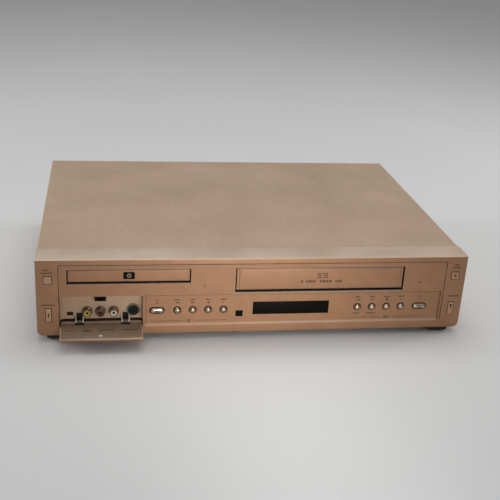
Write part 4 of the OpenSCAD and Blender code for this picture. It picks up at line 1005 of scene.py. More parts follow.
@dataclass
class FrontPanel:
    """Moulded front panel: its face with all openings, and the walls behind it."""

    half_w: float = 235.0
    height: float = 87.6
    face_t: float = 3.0
    wall: float = 2.5
    ledge: float = 31.0
    lip: float = 12.0
    corner: float = 6.5
    rim: float = 1.2
    hole_edge: float = 0.35
    groove_half: float = 0.5
    groove_depth: float = 1.1
    side_groove: float = 211.5
    top_groove: float = 81.3
    tray_slot: tuple[Span, Span] = ((-203.2, -73.2), (60.6, 76.4))
    cassette_slot: tuple[Span, Span] = ((-25.3, 163.3), (48.7, 76.4))
    jack_slot: tuple[Span, Span] = ((-211.2, -123.6), (8.9, 45.5))
    display: tuple[Span, Span] = ((-4.55, 80.95), (20.2, 35.8))
    remote: tuple[Span, Span] = ((-23.4, -15.2), (18.15, 25.65))
    field_x: Span = (-122.6, 210.4)
    field_z: Span = (9.3, 45.9)
    field_slope_x: Span = (1.0, 1.2)
    field_slope_z: Span = (2.1, 0.6)
    field_depth: float = 1.6
    round_r: float = 3.6
    oblong: Span = (15.0, 6.2)
    square: float = 8.2
    tall: Span = (5.8, 15.3)
    ring: float = 0.65
    round_ring: float = 1.0
    lip_drop: Span = (1.0, 1.7)
    field_line: float = 0.55
    # Thickness and depth of the painted shade inside the slots.
    slot_shade_t: float = 0.2
    slot_shade_y: Span = (0.7, 4.4)
    corner_steps: int = 8
    rim_slack: float = 0.1
    flat_turn: float = 0.5
    back_edge: float = 0.5
    line_y: Span = (-0.04, 0.3)
    line_over: float = 0.1
    bite: float = 0.5
    ear_t: float = 3.0
    ear_back: float = 9.5
    ear_foot: float = 76.0
    ear_edge: float = 0.4
    post_x: tuple[float, ...] = (-98.0, 107.6, 198.0)
    post_z: Span = (9.0, 40.0)
    post_r: float = 3.0
    post_end: float = 15.0

    def build(self) -> None:
        """Builds the face and the walls."""
        self._face().make("panel_face", ROOT, CHAMPAGNE, ("front_panel",))
        self._walls().make("panel_walls", ROOT, CHAMPAGNE)
        self._ears().make("door_ears", ROOT, CHAMPAGNE)
        # Dark bands of painted shade inside the tray and cassette slots.
        self._slot_shade().make("slot_painted_shade", ROOT, SHADOW_GAP)
        self._shade().make("field_line", ROOT, CORNER_SHADE)

    def _lower_edge(self, inset: float = 0.0) -> list[Point]:
        """Points round both lower corners, from left to right.

        Args:
            inset: How far inside the outline they run.

        Returns:
            The points.
        """
        x, low, radius = self.half_w - self.corner, self.corner, self.corner - inset
        left = arc((-x, low), radius, 180, 270, self.corner_steps)
        return left + arc((x, low), radius, 270, 360, self.corner_steps)

    def _outline(self) -> list[Point]:
        """Outline of the panel with round lower corners."""
        return [*self._lower_edge(), (self.half_w, self.height), (-self.half_w, self.height)]

    def _inner_field(self) -> tuple[Span, Span]:
        """The sunk field's flat middle."""
        x = (self.field_x[0] + self.field_slope_x[0], self.field_x[1] - self.field_slope_x[1])
        return x, (self.field_z[0] + self.field_slope_z[0], self.field_z[1] - self.field_slope_z[1])

    def _cut_lines(self, sheet: PanelSheet) -> None:
        """Cuts the lines of the grooves and of the sunk field.

        Args:
            sheet: The panel's front.
        """
        for side in (-1, 1):
            middle = side * self.side_groove
            x = around(middle, self.groove_half)
            sheet.carve(x, (self.field_z[0], self.top_groove))
            sheet.carve((x[0], middle), (self.field_z[0], self.top_groove))
        z = around(self.top_groove, self.groove_half)
        sheet.carve((-self.side_groove, self.side_groove), z)
        sheet.carve((-self.side_groove, self.side_groove), (z[0], self.top_groove))
        sheet.carve(self.field_x, self.field_z)
        sheet.carve(*self._inner_field())

    def _open(self, sheet: PanelSheet) -> None:
        """Cuts the openings.

        Args:
            sheet: The panel's front.
        """
        for slot in (self.tray_slot, self.cassette_slot, self.jack_slot, self.display, self.remote):
            sheet.open_window(*slot)
        for name in ROUND_BUTTONS:
            place = button_middle(name)
            sheet.open_round((place.x, place.z), self.round_r + self.round_ring, 0.0)
        for name in OBLONG_BUTTONS:
            place = button_middle(name)
            radius = self.oblong[1] / 2
            sheet.open_round((place.x, place.z), radius + self.round_ring, self.oblong[0] / 2 - radius)
        for names, size in ((SQUARE_BUTTONS, (self.square, self.square)), (TALL_BUTTONS, self.tall)):
            half_x, half_z = size[0] / 2 + self.ring, size[1] / 2 + self.ring
            for name in names:
                place = button_middle(name)
                sheet.open_window(around(place.x, half_x), around(place.z, half_z))

    def _in_groove(self, co: Vector) -> bool:
        """Whether a point lies at the bottom of a groove.

        Args:
            co: The point.

        Returns:
            True if it does.
        """
        side = abs(abs(co.x) - self.side_groove) < NEAR
        if side and self.field_z[0] - NEAR < co.z < self.top_groove + NEAR:
            return True
        return abs(co.z - self.top_groove) < NEAR and abs(co.x) < self.side_groove + NEAR

    def _in_field(self, co: Vector) -> bool:
        """Whether a point lies in the sunk field's flat middle."""
        x, z = self._inner_field()
        return x[0] - NEAR < co.x < x[1] + NEAR and z[0] - NEAR < co.z < z[1] + NEAR

    def _flare(self, sheet: PanelSheet) -> None:
        """Slopes the lower lips of the tray slot and the cassette slot.

        Args:
            sheet: The panel's front.
        """
        for slot, drop in zip((self.tray_slot, self.cassette_slot), self.lip_drop):
            (x0, x1), (z0, _) = slot
            for vert in sheet.bm.verts:
                co = vert.co
                if co.y < NEAR and abs(co.z - z0) < NEAR and x0 - NEAR < co.x < x1 + NEAR:
                    co.z -= drop

    def _on_rim(self, co: Vector) -> bool:
        """Whether a point lies on the panel's outline.

        Args:
            co: The point.

        Returns:
            True if it does.
        """
        if abs(co.x) > self.half_w - NEAR or co.z > self.height - NEAR or co.z < NEAR:
            return True
        middle = Vector((self.half_w - self.corner, self.corner))
        reach = Vector((abs(co.x), co.z)) - middle
        return reach.x > 0 > reach.y and abs(reach.length - self.corner) < self.rim_slack

    def _face(self) -> PanelSheet:
        """Builds the panel's front plate.

        Returns:
            The plate with its openings, grooves and sunk field.
        """
        sheet = PanelSheet(self._outline())
        self._cut_lines(sheet)
        self._open(sheet)
        sheet.thicken(self.face_t)
        self._flare(sheet)
        sheet.sink(self.groove_depth, self._in_groove)
        sheet.sink(self.field_depth, self._in_field)
        bmesh.ops.connect_verts_nonplanar(
            sheet.bm, angle_limit=math.radians(self.flat_turn), faces=sheet.bm.faces[:],
        )

        def in_front(edge: BMEdge) -> bool:
            """Whether an edge lies in front of the plate's back."""
            return all(v.co.y < self.face_t - NEAR for v in edge.verts)

        def on_rim(edge: BMEdge) -> bool:
            """Whether an edge runs along the outline."""
            return in_front(edge) and all(self._on_rim(v.co) for v in edge.verts)

        rim = sheet.sharp(CREASE, on_rim)
        sheet.soften(sheet.sharp(CREASE, lambda e: in_front(e) and not on_rim(e)), self.hole_edge)
        sheet.soften([e for e in rim if e.is_valid], self.rim, segments=3)
        return sheet

    def _walls(self) -> Shape:
        """Builds the ledge, the sides and the bottom lip.

        Returns:
            The walls behind the front plate.
        """
        shape = Shape()
        out, low = self.half_w, self.corner
        inner, top = out - self.wall, self.height - self.wall
        arch = [(-out, low), (-out, self.height), (out, self.height), (out, low)]
        arch += [(inner, low), (inner, top), (-inner, top), (-inner, low)]
        shape.prism(arch, Axis.Y, (self.face_t - NEAR, self.ledge))
        sill = self._lower_edge() + self._lower_edge(self.wall)[::-1]
        shape.prism(sill, Axis.Y, (self.face_t - NEAR, self.lip))
        back = self.ledge - NEAR
        shape.soften(shape.sharp(CREASE, lambda e: all(v.co.y > back for v in e.verts)), self.back_edge)
        return shape

    def _slot_shade(self) -> Shape:
        """Builds dark bands of painted shade on the walls of the tray slot and the cassette slot.

        Returns:
            Both bands.
        """
        shape = Shape()
        for x, z in (self.tray_slot, self.cassette_slot):
            outer = rectangle(widened(x, NEAR), widened(z, NEAR))
            inner = rectangle(widened(x, -self.slot_shade_t), widened(z, -self.slot_shade_t))
            shape.band(outer, inner, Axis.Y, self.slot_shade_y)
        return shape

    def _shade(self) -> Shape:
        """Builds the dark line in the sunk field's upper corner.

        Returns:
            The line.
        """
        shape = Shape()
        x, (_, top) = self._inner_field()
        shape.block(x, raised(self.line_y, self.field_depth), (top - self.field_line, top + self.line_over))
        return shape

    def _ears(self) -> Shape:
        """Builds the ears that carry the door's pins and the posts of the control boards.

        Returns:
            The ears and the posts.
        """
        shape = Shape()
        pins = NodeBox.of("cassette_door")
        start = self.face_t - self.bite
        for x in ((pins.low.x, pins.low.x + self.ear_t), (pins.high.x - self.ear_t, pins.high.x)):
            shape.block(x, (start, self.ear_back), (self.ear_foot, self.height - self.wall), self.ear_edge)
        post = rod_profile(self.post_r, (start, self.post_end))
        for x in self.post_x:
            for z in self.post_z:
                shape.lathe(post, Vector((x, 0.0, z)), Axis.Y, steps=20)
        return shape


@dataclass
class JackBay:
    """Recess for the front jacks, with the forks that hold the flap."""

    x: Span = (-211.3, -123.5)
    z: Span = (14.4, 45.6)
    y: Span = (2.95, 11.0)
    floor: float = 7.2
    corner: float = 5.0
    wall: float = 1.6
    pivot: Point = (4.4, 13.9)
    hinge_x: Span = (-190.8, -142.0)
    knuckle_half: float = 3.3
    prong: float = 1.2
    prong_r: float = 1.7
    prong_root: Span = (16.9, 20.3)
    pin_r: float = 1.0
    link: tuple[Span, Span] = ((-204.05, -197.35), (18.4, 22.6))
    socket_at: Point = (-133.7, 24.5)
    rim_r: Span = (6.12, 7.0)
    rim_front: float = 8.9
    rim_bevel: Span = (0.3, 0.4)
    open_side: float = -0.9
    nose: Span = (125.5, 305.5)
    root_in: float = 0.5
    prong_edge: float = 0.3
    # Thickness, gap and overlap of the painted shade sheets.
    hollow_shade_t: float = 0.6
    hollow_shade_gap: float = 0.1
    hollow_shade_over: float = 1.0
    slot_slack: float = 0.1
    slot_y: Span = (-0.12, 0.4)
    slot_over: Span = (0.2, 1.0)
    link_edge: float = 0.1
    base_out: float = 0.2

    def build(self) -> None:
        """Builds the recess, the forks, the painted shade in its hollows and the socket's rim."""
        self._recess().make("jack_bay", ROOT, BAY_PAINT)
        self._forks().make("flap_forks", ROOT, FORK_PLATE_AND_HIGHLIGHT)
        # Dark sheets of painted shade where the bay lies in shadow.
        self._hollow_shade().make("bay_painted_shade", ROOT, SHADOW_GAP)
        self._socket_rim().make("socket_rim", ROOT, SOCKET_RIM)

    @property
    def socket_middle(self) -> Vector:
        """Middle of the round socket on the panel's front."""
        return Vector((self.socket_at[0], 0.0, self.socket_at[1]))

    def _recess(self) -> Shape:
        """Builds the recess as an open shell with round inner corners.

        Returns:
            The shell.
        """
        shape = Shape()
        shape.block(self.x, self.y, self.z)
        open_sides = [f for f in shape.bm.faces if min(f.normal.y, f.normal.z) < self.open_side]
        bmesh.ops.delete(shape.bm, geom=open_sides, context="FACES_ONLY")
        shape.bm.normal_update()

        def at_back(edge: BMEdge) -> bool:
            """Whether an edge runs along the back wall."""
            return all(v.co.y > self.y[1] - NEAR for v in edge.verts)

        shape.soften(shape.sharp(CREASE, at_back), self.corner, segments=6)
        bmesh.ops.recalc_face_normals(shape.bm, faces=shape.bm.faces[:])
        bmesh.ops.solidify(shape.bm, geom=shape.bm.faces[:], thickness=-self.wall)
        return shape

    def _forks(self) -> Shape:
        """Builds the prongs and the hinge pins.

        Returns:
            Both forks.
        """
        shape = Shape()
        root = self.y[1] + self.root_in
        outline = arc(self.pivot, self.prong_r, *self.nose, steps=10)
        outline += [(root, self.prong_root[0]), (root, self.prong_root[1])]
        reach = self.knuckle_half + self.prong / 2
        pin = rod_profile(self.pin_r, (-reach, reach))
        for hinge in self.hinge_x:
            for side in (-1, 1):
                near = hinge + side * self.knuckle_half
                shape.prism(outline, Axis.X, between(near, near + side * self.prong), self.prong_edge)
            shape.lathe(pin, Vector((hinge, *self.pivot)), Axis.X, steps=20)
        return shape

    def _hollow_shade(self) -> Shape:
        """Builds painted shade: dark sheets under the back wall, over the knuckles' slots and at the bases of
        both sockets.

        Returns:
            All the bay's painted shade.
        """
        shape = Shape()
        (x0, x1), back = self.x, self.y[1]
        low, top = self.floor - self.hollow_shade_t, self.z[0] + self.hollow_shade_over
        y = (self.y[0], back + self.hollow_shade_t)
        shape.block(self.x, y, (low, self.floor))
        shape.block(self.x, (back + self.hollow_shade_gap, back + self.hollow_shade_t), (self.floor, top))
        for x in ((x0 - self.hollow_shade_t, x0), (x1, x1 + self.hollow_shade_t)):
            shape.block(x, y, (low, top))
        y = raised(self.slot_y, back)
        z = (self.z[0] - self.slot_over[0], self.prong_root[1] + self.slot_over[1])
        for hinge in self.hinge_x:
            shape.block(around(hinge, self.knuckle_half - self.slot_slack), y, z)
        shape.block(self.link[0], y, self.link[1], self.link_edge)
        base = rod_profile(self.rim_r[0], (y[0] - self.base_out, y[1]))
        shape.lathe(base, self.socket_middle, Axis.Y)
        return shape

    def _socket_rim(self) -> Shape:
        """Builds the bright rim of the round socket.

        Returns:
            The rim.
        """
        shape = Shape()
        (inner, outer), front, back = self.rim_r, self.rim_front, self.y[1]
        in_by, back_by = self.rim_bevel
        line = [(inner, front), (outer - in_by, front), (outer, front + back_by)]
        line += [(outer, back), (inner, back), (inner, front)]
        shape.lathe(line, self.socket_middle, Axis.Y)
        return shape


@dataclass
class JackFlap:
    """Drop-down flap in front of the jacks, modelled closed and then turned open about its pins."""

    x: Span = (-210.7, -124.1)
    z: Span = (9.4, 45.0)
    thick: float = 2.4
    edge: float = 0.55
    open_turn: float = 95.6
    knuckle_r: float = 2.2
    knuckle_half: float = 3.0
    bore_r: float = 1.05
    catch: tuple[float, float, float] = (4.0, 1.4, 2.6)
    catch_at: Point = (-168.6, 40.9)
    catch_in: float = 0.2
    catch_edge: float = 0.4
    skin_inset: float = 0.7
    skin_t: float = 0.25
    skin_in: float = 0.4
    skin_foot: float = 5.2
    skin_edge: float = 0.2
    # Pads of painted shadow at each knuckle: half width, and heights.
    relief: tuple[float, Span] = (4.9, (12.0, 18.0))
    shadow_pad_in: float = 0.1
    shadow_pad_out: float = 0.05
    label_h: float = 1.7
    label_y: Span = (-0.05, 0.04)
    labels: tuple[Place, ...] = (
        (-200.5, 28.6, 9.0), (-183.0, 28.2, 8.0), (-182.4, 30.4, 10.0), (-161.5, 28.0, 15.0),
        (-168.6, 30.4, 3.0), (-155.5, 30.2, 3.0), (-137.5, 28.0, 17.0),
    )

    def build(self, bay: JackBay) -> None:
        """Builds the flap.

        Args:
            bay: The recess whose pins carry the flap.
        """
        plate, lining, knuckles, shadow_pads, catch, marks = (Shape() for _ in range(6))
        plate.block(self.x, (0.0, self.thick), self.z, self.edge, segments=3)
        face = self.thick + self.skin_t
        lining.block(
            widened(self.x, -self.skin_inset), (self.thick - self.skin_in, face),
            (self.z[0] + self.skin_foot, self.z[1] - self.skin_inset), self.skin_edge,
        )
        knuckle = ring_profile((self.bore_r, self.knuckle_r), (-self.knuckle_half, self.knuckle_half))
        half, z = self.relief
        for hinge in bay.hinge_x:
            knuckles.lathe(knuckle, Vector((hinge, *bay.pivot)), Axis.X, steps=28)
            # Dark pads of painted shadow on the flap at each knuckle.
            shadow_pads.block(around(hinge, half), (self.thick - self.shadow_pad_in, face + self.shadow_pad_out), z)
        width, height, reach = self.catch
        catch.block(
            around(self.catch_at[0], width / 2), (self.thick - self.catch_in, self.thick + reach),
            around(self.catch_at[1], height / 2), self.catch_edge,
        )
        for x, z, width in self.labels:
            marks.ticks((x, z), width, self.label_h, raised(self.label_y, face))
        turn = Matrix.Rotation(math.radians(self.open_turn), 3, "X")
        for shape, name, finish, nodes in (
            (plate, "jack_flap_cover", CHAMPAGNE, ("jack_flap",)),
            (lining, "jack_flap_lining", FLAP_PAINT, ()),
            (knuckles, "flap_knuckles", KNUCKLE, ("jack_flap",)),
            (shadow_pads, "flap_painted_shadow", SHADOW_GAP, ()),
            # The catch wears the bright fork finish as a painted highlight.
            (catch, "flap_catch", FORK_PLATE_AND_HIGHLIGHT, ("jack_flap",)),
            (marks, "jack_flap_marks", PRINT, ()),
        ):
            bmesh.ops.rotate(shape.bm, verts=shape.bm.verts[:], cent=Vector((0.0, *bay.pivot)), matrix=turn)
            shape.make(name, "flap", finish, nodes)


@dataclass
class PhonoJacks:
    """Three phono jacks, each a plated shell with a coloured core sunk in it."""

    wall: float = 11.0
    shell_r: Span = (3.35, 4.15)
    flange: Point = (5.45, 1.6)
    edge: float = 0.25
    sunk: float = 0.9
    hole_r: float = 1.6
    hole_depth: float = 1.0
    hole_t: float = 0.4
    bottom_t: float = 2.0

    def build(self) -> None:
        """Builds the shells, the cores and dark discs of painted shade deep in each core's hole."""
        box = NodeBox.of("phono_shells")
        front, back = box.low.y, box.high.y
        shells, hole_shade = Shape(), Shape()
        for node, finish in (("phono_yellow", YELLOW), ("phono_red", RED), ("phono_white", WHITE)):
            middle = NodeBox.of(node).middle
            middle.y = 0.0
            shells.lathe(self._shell(front, back), middle, Axis.Y)
            core, face = Shape(), front + self.sunk
            core.lathe(self._core(face, back), middle, Axis.Y)
            core.make(f"{node}_core", ROOT, finish, (node,))
            # A dark disc of painted shade deep in each core's hole.
            deep = face + self.hole_depth
            hole_shade.lathe(rod_profile(self.hole_r, (deep, deep + self.hole_t)), middle, Axis.Y)
        shells.make("phono_sleeves", ROOT, DARK_CHROME, ("phono_shells",))
        hole_shade.make("phono_hole_shade", ROOT, SHADOW_GAP)

    def _shell(self, front: float, back: float) -> list[Point]:
        """The closed profile of a shell.

        Args:
            front, back: Where the shell starts and ends.

        Returns:
            Radius and depth of each point.
        """
        (inner, outer), (flange_r, flange_t), edge = self.shell_r, self.flange, self.edge
        step = self.wall - flange_t
        line = [
            (inner, front + edge), (inner + edge, front), (outer - edge, front), (outer, front + edge),
            (outer, step), (flange_r - edge, step), (flange_r, step + edge), (flange_r, self.wall),
            (outer, self.wall), (outer, back), (inner, back),
        ]
        return [*line, line[0]]

    def _core(self, face: float, back: float) -> list[Point]:
        """The profile of a core with a blind hole.

        Args:
            face: Where the core's front lies.
            back: Where it ends.

        Returns:
            Radius and depth of each point.
        """
        hole, edge, bottom = self.hole_r, self.edge, back - self.bottom_t
        return [
            (0.0, bottom), (hole, bottom), (hole, face + edge), (hole + edge, face), (self.shell_r[0], face),
            (self.shell_r[0], back), (0.0, back),
        ]


@dataclass
class SlopedCap:
    """Front plate whose face stands proud inside a sloped border, as on the tray and the door."""

    x: Span
    z: Span
    back: float
    step: float
    front: float
    border: Span
    slope: float = 0.45
    edge: float = 0.2
    least_fold: float = 8.0

    def _spread(self, plate: Shape, verts: Sequence[BMVert], wider: float, rise: float) -> None:
        """Fits a rectangle of points to the field inside the border.

        Args:
            plate: The mesh of the plate.
            verts: The rectangle's points.
            wider: How far outside the field the rectangle stays.
            rise: How far it moves along y.
        """
        x, z = (sum(self.x) / 2, sum(self.z) / 2)
        half_x = (self.x[1] - self.x[0]) / 2 - self.border[0] + wider
        half_z = (self.z[1] - self.z[0]) / 2 - self.border[1] + wider
        for vert in verts:
            vert.co.x = x + math.copysign(half_x, vert.co.x - x)
            vert.co.z = z + math.copysign(half_z, vert.co.z - z)
        bmesh.ops.translate(plate.bm, verts=list(verts), vec=Axis.Y.unit * rise)

    def add_to(self, shape: Shape) -> None:
        """Adds the plate to a mesh.

        Args:
            shape: The mesh that the plate joins.
        """
        plate = Shape()
        plate.block(self.x, (self.step, self.back), self.z)
        face = [f for f in plate.bm.faces if f.calc_center_median().y < self.step + NEAR]
        for inset, rise in ((self.slope, 0.0), (0.0, self.front - self.step)):
            grown = bmesh.ops.extrude_face_region(plate.bm, geom=face)["geom"]
            bmesh.ops.delete(plate.bm, geom=face, context="FACES_ONLY")
            face = [f for f in grown if isinstance(f, BMFace)]
            self._spread(plate, [v for v in grown if isinstance(v, BMVert)], inset, rise)
        plate.soften(plate.sharp(self.least_fold), self.edge)
        mesh = bpy.data.meshes.new("cap")
        plate.bm.to_mesh(mesh)
        plate.bm.free()
        shape.bm.from_mesh(mesh)
        bpy.data.meshes.remove(mesh)


@dataclass
class DiscTray:
    """Front of the disc tray with a dark badge plate."""

    cap: SlopedCap = field(
        default_factory=lambda: SlopedCap(
            x=(-201.8, -74.6), z=(62.4, 75.4), back=4.0, step=1.0, front=0.2, border=(1.6, 1.3), slope=1.1,
        )
    )
    badge_x: Span = (-144.5, -132.7)
    badge_z: Span = (65.6, 73.4)
    badge_t: float = 0.25
    badge_edge: float = 0.1
    ring_r: Span = (1.0, 2.5)
    ring_y: Span = (-0.04, 0.05)

    def build(self) -> None:
        """Builds the tray's front and its badge."""
        shape = Shape()
        self.cap.add_to(shape)
        shape.make("tray_cap", "tray", CHAMPAGNE, ("tray_front",))
        badge = Shape()
        badge.block(self.badge_x, (-self.badge_t, self.cap.front), self.badge_z, self.badge_edge)
        badge.make("tray_badge", "tray", SMOKED)
        ring = Shape()
        place = Vector((sum(self.badge_x) / 2, -self.badge_t, sum(self.badge_z) / 2))
        ring.lathe(ring_profile(self.ring_r, self.ring_y), place, Axis.Y, steps=32)
        ring.make("tray_badge_ring", "tray", PALE_PRINT)


@dataclass
class CassetteDoor:
    """Door of the cassette bay with its arms and pins."""

    cap: SlopedCap = field(
        default_factory=lambda: SlopedCap(
            x=(-23.8, 161.8), z=(50.5, 75.3), back=3.1, step=1.5, front=0.5, border=(3.6, 1.7), slope=1.2,
        )
    )
    arm_w: float = 5.0
    arm_drop: float = 8.0
    arm_y: Span = (3.7, 7.0)
    arm_edge: float = 0.3
    bridge_in: Span = (0.3, 0.5)
    bridge_edge: float = 0.1
    pin_r: float = 1.5
    pin_at: Point = (5.5, 81.0)
    icon_at: Point = (70.4, 66.6)
    icon_size: Span = (11.0, 6.0)
    icon_line: float = 0.7
    reel_r: Span = (0.6, 1.25)
    print_y: Span = (-0.04, 0.02)
    line_z: float = 59.8
    line_h: float = 2.6
    line_groups: tuple[Span, ...] = ((48.0, 3.0), (58.5, 12.0), (75.0, 14.0), (89.5, 8.0))

    def build(self) -> None:
        """Builds the door and the printed cassette sign on it."""
        shape = Shape()
        self.cap.add_to(shape)
        pins = NodeBox.of("cassette_door")
        top = self.cap.z[1]
        foot, crown = top - self.arm_drop, self.pin_at[1] + self.pin_r
        bridge_y = (self.cap.back - self.bridge_in[0], self.arm_y[0] + self.bridge_in[1])
        ends = ((self.cap.x[0], 1, pins.low.x), (self.cap.x[1], -1, pins.high.x))
        for edge, inward, pin_end in ends:
            root = edge + inward * self.arm_w
            x = between(edge, root)
            shape.block(x, self.arm_y, (foot, crown), self.arm_edge)
            shape.block(x, bridge_y, (foot, top), self.bridge_edge)
            rod = rod_profile(self.pin_r, between(root, pin_end))
            shape.lathe(rod, Vector((0.0, *self.pin_at)), Axis.X, steps=20)
        shape.make("cassette_door_plate", "door", CHAMPAGNE, ("cassette_door",))
        self._sign().make("cassette_sign", "door", PRINT)

    def _sign(self) -> Shape:
        """Builds a plain cassette outline with two reels, and the row of ticks under it.

        Returns:
            The print.
        """
        shape = Shape()
        width, height = self.icon_size
        x, z = self.icon_at
        depth, line = raised(self.print_y, self.cap.front), self.icon_line
        half_w, half_h = width / 2, height / 2
        for side in (-1, 1):
            upright = between(x + side * half_w, x + side * (half_w - line))
            level = between(z + side * half_h, z + side * (half_h - line))
            shape.block(upright, depth, around(z, half_h))
            shape.block((x - half_w + line, x + half_w - line), depth, level)
            reel = Vector((x + side * width / 4, 0.0, z))
            shape.lathe(ring_profile(self.reel_r, depth), reel, Axis.Y, steps=24)
        for middle, length in self.line_groups:
            shape.ticks((middle, self.line_z), length, self.line_h, depth)
        return shape


@dataclass
class Buttons:
    """All push buttons of the front, with their lamps and marks."""

    panel: FrontPanel
    dome_foot: float = 0.9
    dome: float = 2.5
    oblong_out: float = 0.7
    oblong_edge: float = 2.6
    corner_out: float = 0.8
    corner_edge: float = 0.55
    back: float = 3.3
    flange: float = 1.4
    flange_t: float = 1.0
    stem_r: float = 1.6
    stem_end: float = 9.3
    corner_r: float = 0.8
    # Fit, sinking and thickness of the painted shade rings round the buttons.
    gap_shade_slack: float = 0.08
    gap_shade_sunk: float = 0.35
    gap_shade_t: float = 0.5
    # Size of the dark oval on the oblong buttons: width, height and corner radius.
    lamp: Place = (4.8, 1.1, 0.5)
    oval_drop: float = 0.5
    oval_y: Span = (-0.05, 0.6)
    mark_y: Span = (-0.05, 0.1)
    slit: Place = (1.3, 4.6, 0.5)
    slit_shift: float = -0.1
    # Corners of the dark triangle of painted shadow on the lower right button.
    shadow_wedge: tuple[Point, ...] = ((-1.4, 5.2), (1.6, 5.2), (0.2, -1.2))
    arrow: tuple[Point, ...] = ((-1.7, -0.3), (1.7, -0.3), (0.0, 2.0))
    arrow_bar: tuple[Span, Span] = ((-1.7, 1.7), (-1.6, -0.9))

    def build(self) -> None:
        """Builds every button."""
        for name in ROUND_BUTTONS:
            self._fit(self._round(button_middle(name)), name, CHROME)
        for name in OBLONG_BUTTONS:
            self._fit(self._bar(Button.OBLONG, button_middle(name)), name, CHROME)
            # A dark oval in the lower half of each oblong button.
            self._dark_oval(button_middle(name)).make(f"{name}_dark_oval", f"{name}_button", SHADOW_GAP)
        for kind, names in ((Button.SQUARE, SQUARE_BUTTONS), (Button.TALL, TALL_BUTTONS)):
            for name in names:
                self._fit(self._bar(kind, button_middle(name)), name, CORNER_PLATE)
        # Dark rings of painted shade in the gaps round the buttons.
        self._gap_shade().make("button_gap_shade", ROOT, SHADOW_GAP)
        self._marks()

    @staticmethod
    def _fit(shape: Shape, name: str, finish: Finish) -> None:
        """Makes a mesh the cap of a named button."""
        shape.make(f"{name}_cap", f"{name}_button", finish, (f"{name}_button",))

    def _size(self, kind: Button) -> tuple[float, float, float]:
        """Size of a kind of button.

        Args:
            kind: Which shape.

        Returns:
            Its width, its height and the radius of its corners.
        """
        panel = self.panel
        return {
            Button.ROUND: (2 * panel.round_r, 2 * panel.round_r, panel.round_r - NEAR),
            Button.OBLONG: (*panel.oblong, panel.oblong[1] / 2 - NEAR),
            Button.SQUARE: (panel.square, panel.square, self.corner_r),
            Button.TALL: (*panel.tall, self.corner_r),
        }[kind]

    def _gap_shade(self) -> Shape:
        """Builds dark rings of painted shade in the gaps round the buttons.

        Returns:
            All the rings.
        """
        shape, slack, panel = Shape(), self.gap_shade_slack, self.panel
        for kind, names, front, ring in (
            (Button.ROUND, ROUND_BUTTONS, panel.field_depth, panel.round_ring),
            (Button.OBLONG, OBLONG_BUTTONS, panel.field_depth, panel.round_ring),
            (Button.SQUARE, SQUARE_BUTTONS, 0.0, panel.ring), (Button.TALL, TALL_BUTTONS, 0.0, panel.ring),
        ):
            width, height, radius = self._size(kind)
            inner = rounded_outline(width + 2 * slack, height + 2 * slack, radius + slack, 8)
            outer = rounded_outline(width + 2 * ring, height + 2 * ring, radius + ring, 8)
            for name in names:
                place = button_middle(name)
                at, y = (place.x, place.z), front + self.gap_shade_sunk
                shape.band(moved(outer, at), moved(inner, at), Axis.Y, (y, y + self.gap_shade_t))
        return shape

    def _round(self, place: Vector) -> Shape:
        """Builds a round button with a domed top.

        Args:
            place: Middle of the button.

        Returns:
            The button's mesh.
        """
        radius, steps = self.panel.round_r, 12
        sphere = (radius**2 + self.dome**2) / (2 * self.dome)
        middle = self.dome_foot - self.dome + sphere
        rim = math.asin(radius / sphere)
        turns = [rim * i / steps for i in range(steps + 1)]
        dome = [(sphere * math.sin(t), middle - sphere * math.cos(t)) for t in turns]
        wide, rear = radius + self.flange, self.back + self.flange_t
        wall = [(radius, self.back), (wide, self.back), (wide, rear)]
        stem = [(self.stem_r, rear), (self.stem_r, self.stem_end), (0.0, self.stem_end)]
        shape = Shape()
        shape.lathe(dome + wall + stem, Vector((place.x, 0.0, place.z)), Axis.Y)
        return shape

    def _bar(self, kind: Button, place: Vector) -> Shape:
        """Builds an oblong, square or tall button.

        Args:
            kind: Which shape.
            place: Middle of the button.

        Returns:
            The button's mesh.
        """
        shape = Shape()
        width, height, radius = self._size(kind)
        at = (place.x, place.z)
        outline = moved(rounded_outline(width, height, radius, 8), at)
        if kind is Button.OBLONG:
            shape.prism(outline, Axis.Y, (self.oblong_edge - self.oblong_out, self.back))
            shape.dome(self.oblong_edge)
        else:
            shape.prism(outline, Axis.Y, (-self.corner_out, self.back), self.corner_edge, segments=5)
        wide = rounded_outline(width + 2 * self.flange, height + 2 * self.flange, radius)
        shape.prism(moved(wide, at), Axis.Y, (self.back, self.back + self.flange_t))
        stem = rod_profile(self.stem_r, (self.back, self.stem_end))
        shape.lathe(stem, Vector((place.x, 0.0, place.z)), Axis.Y, steps=20)
        return shape

    def _dark_oval(self, place: Vector) -> Shape:
        """Builds a dark oval in the lower half of an oblong button.

        Args:
            place: Middle of the button.

        Returns:
            The lamp.
        """
        shape = Shape()
        outline = moved(rounded_outline(*self.lamp), (place.x, place.z - self.oval_drop))
        shape.prism(outline, Axis.Y, raised(self.oval_y, -self.oblong_out))
        return shape

    def _marks(self) -> None:
        """Builds the dark marks on the corner buttons, the lower right one a painted shadow."""
        y = raised(self.mark_y, -self.corner_out)
        slit = Shape()
        place = button_middle("lower_left")
        slit.prism(moved(rounded_outline(*self.slit), (place.x + self.slit_shift, place.z)), Axis.Y, y)
        slit.make("lower_left_mark", "lower_left_button", SHADOW_GAP)
        # A painted shadow: a dark triangle on the lower right button.
        shadow_wedge = Shape()
        place = button_middle("lower_right")
        shadow_wedge.prism(moved(self.shadow_wedge, (place.x, place.z)), Axis.Y, y)
        shadow_wedge.make("lower_right_painted_shadow", "lower_right_button", PRINT)
        eject = Shape()
        place = button_middle("upper_right")
        eject.prism(moved(self.arrow, (place.x, place.z)), Axis.Y, y)
        eject.block(raised(self.arrow_bar[0], place.x), y, raised(self.arrow_bar[1], place.z))
        eject.make("upper_right_mark", "upper_right_button", PRINT)


class Sign(Enum):
    """Plain signs printed over the round buttons."""

    RECORD = "record"
    BACK = "back"
    FORWARD = "forward"
    STOP = "stop"
    PLAY = "play"


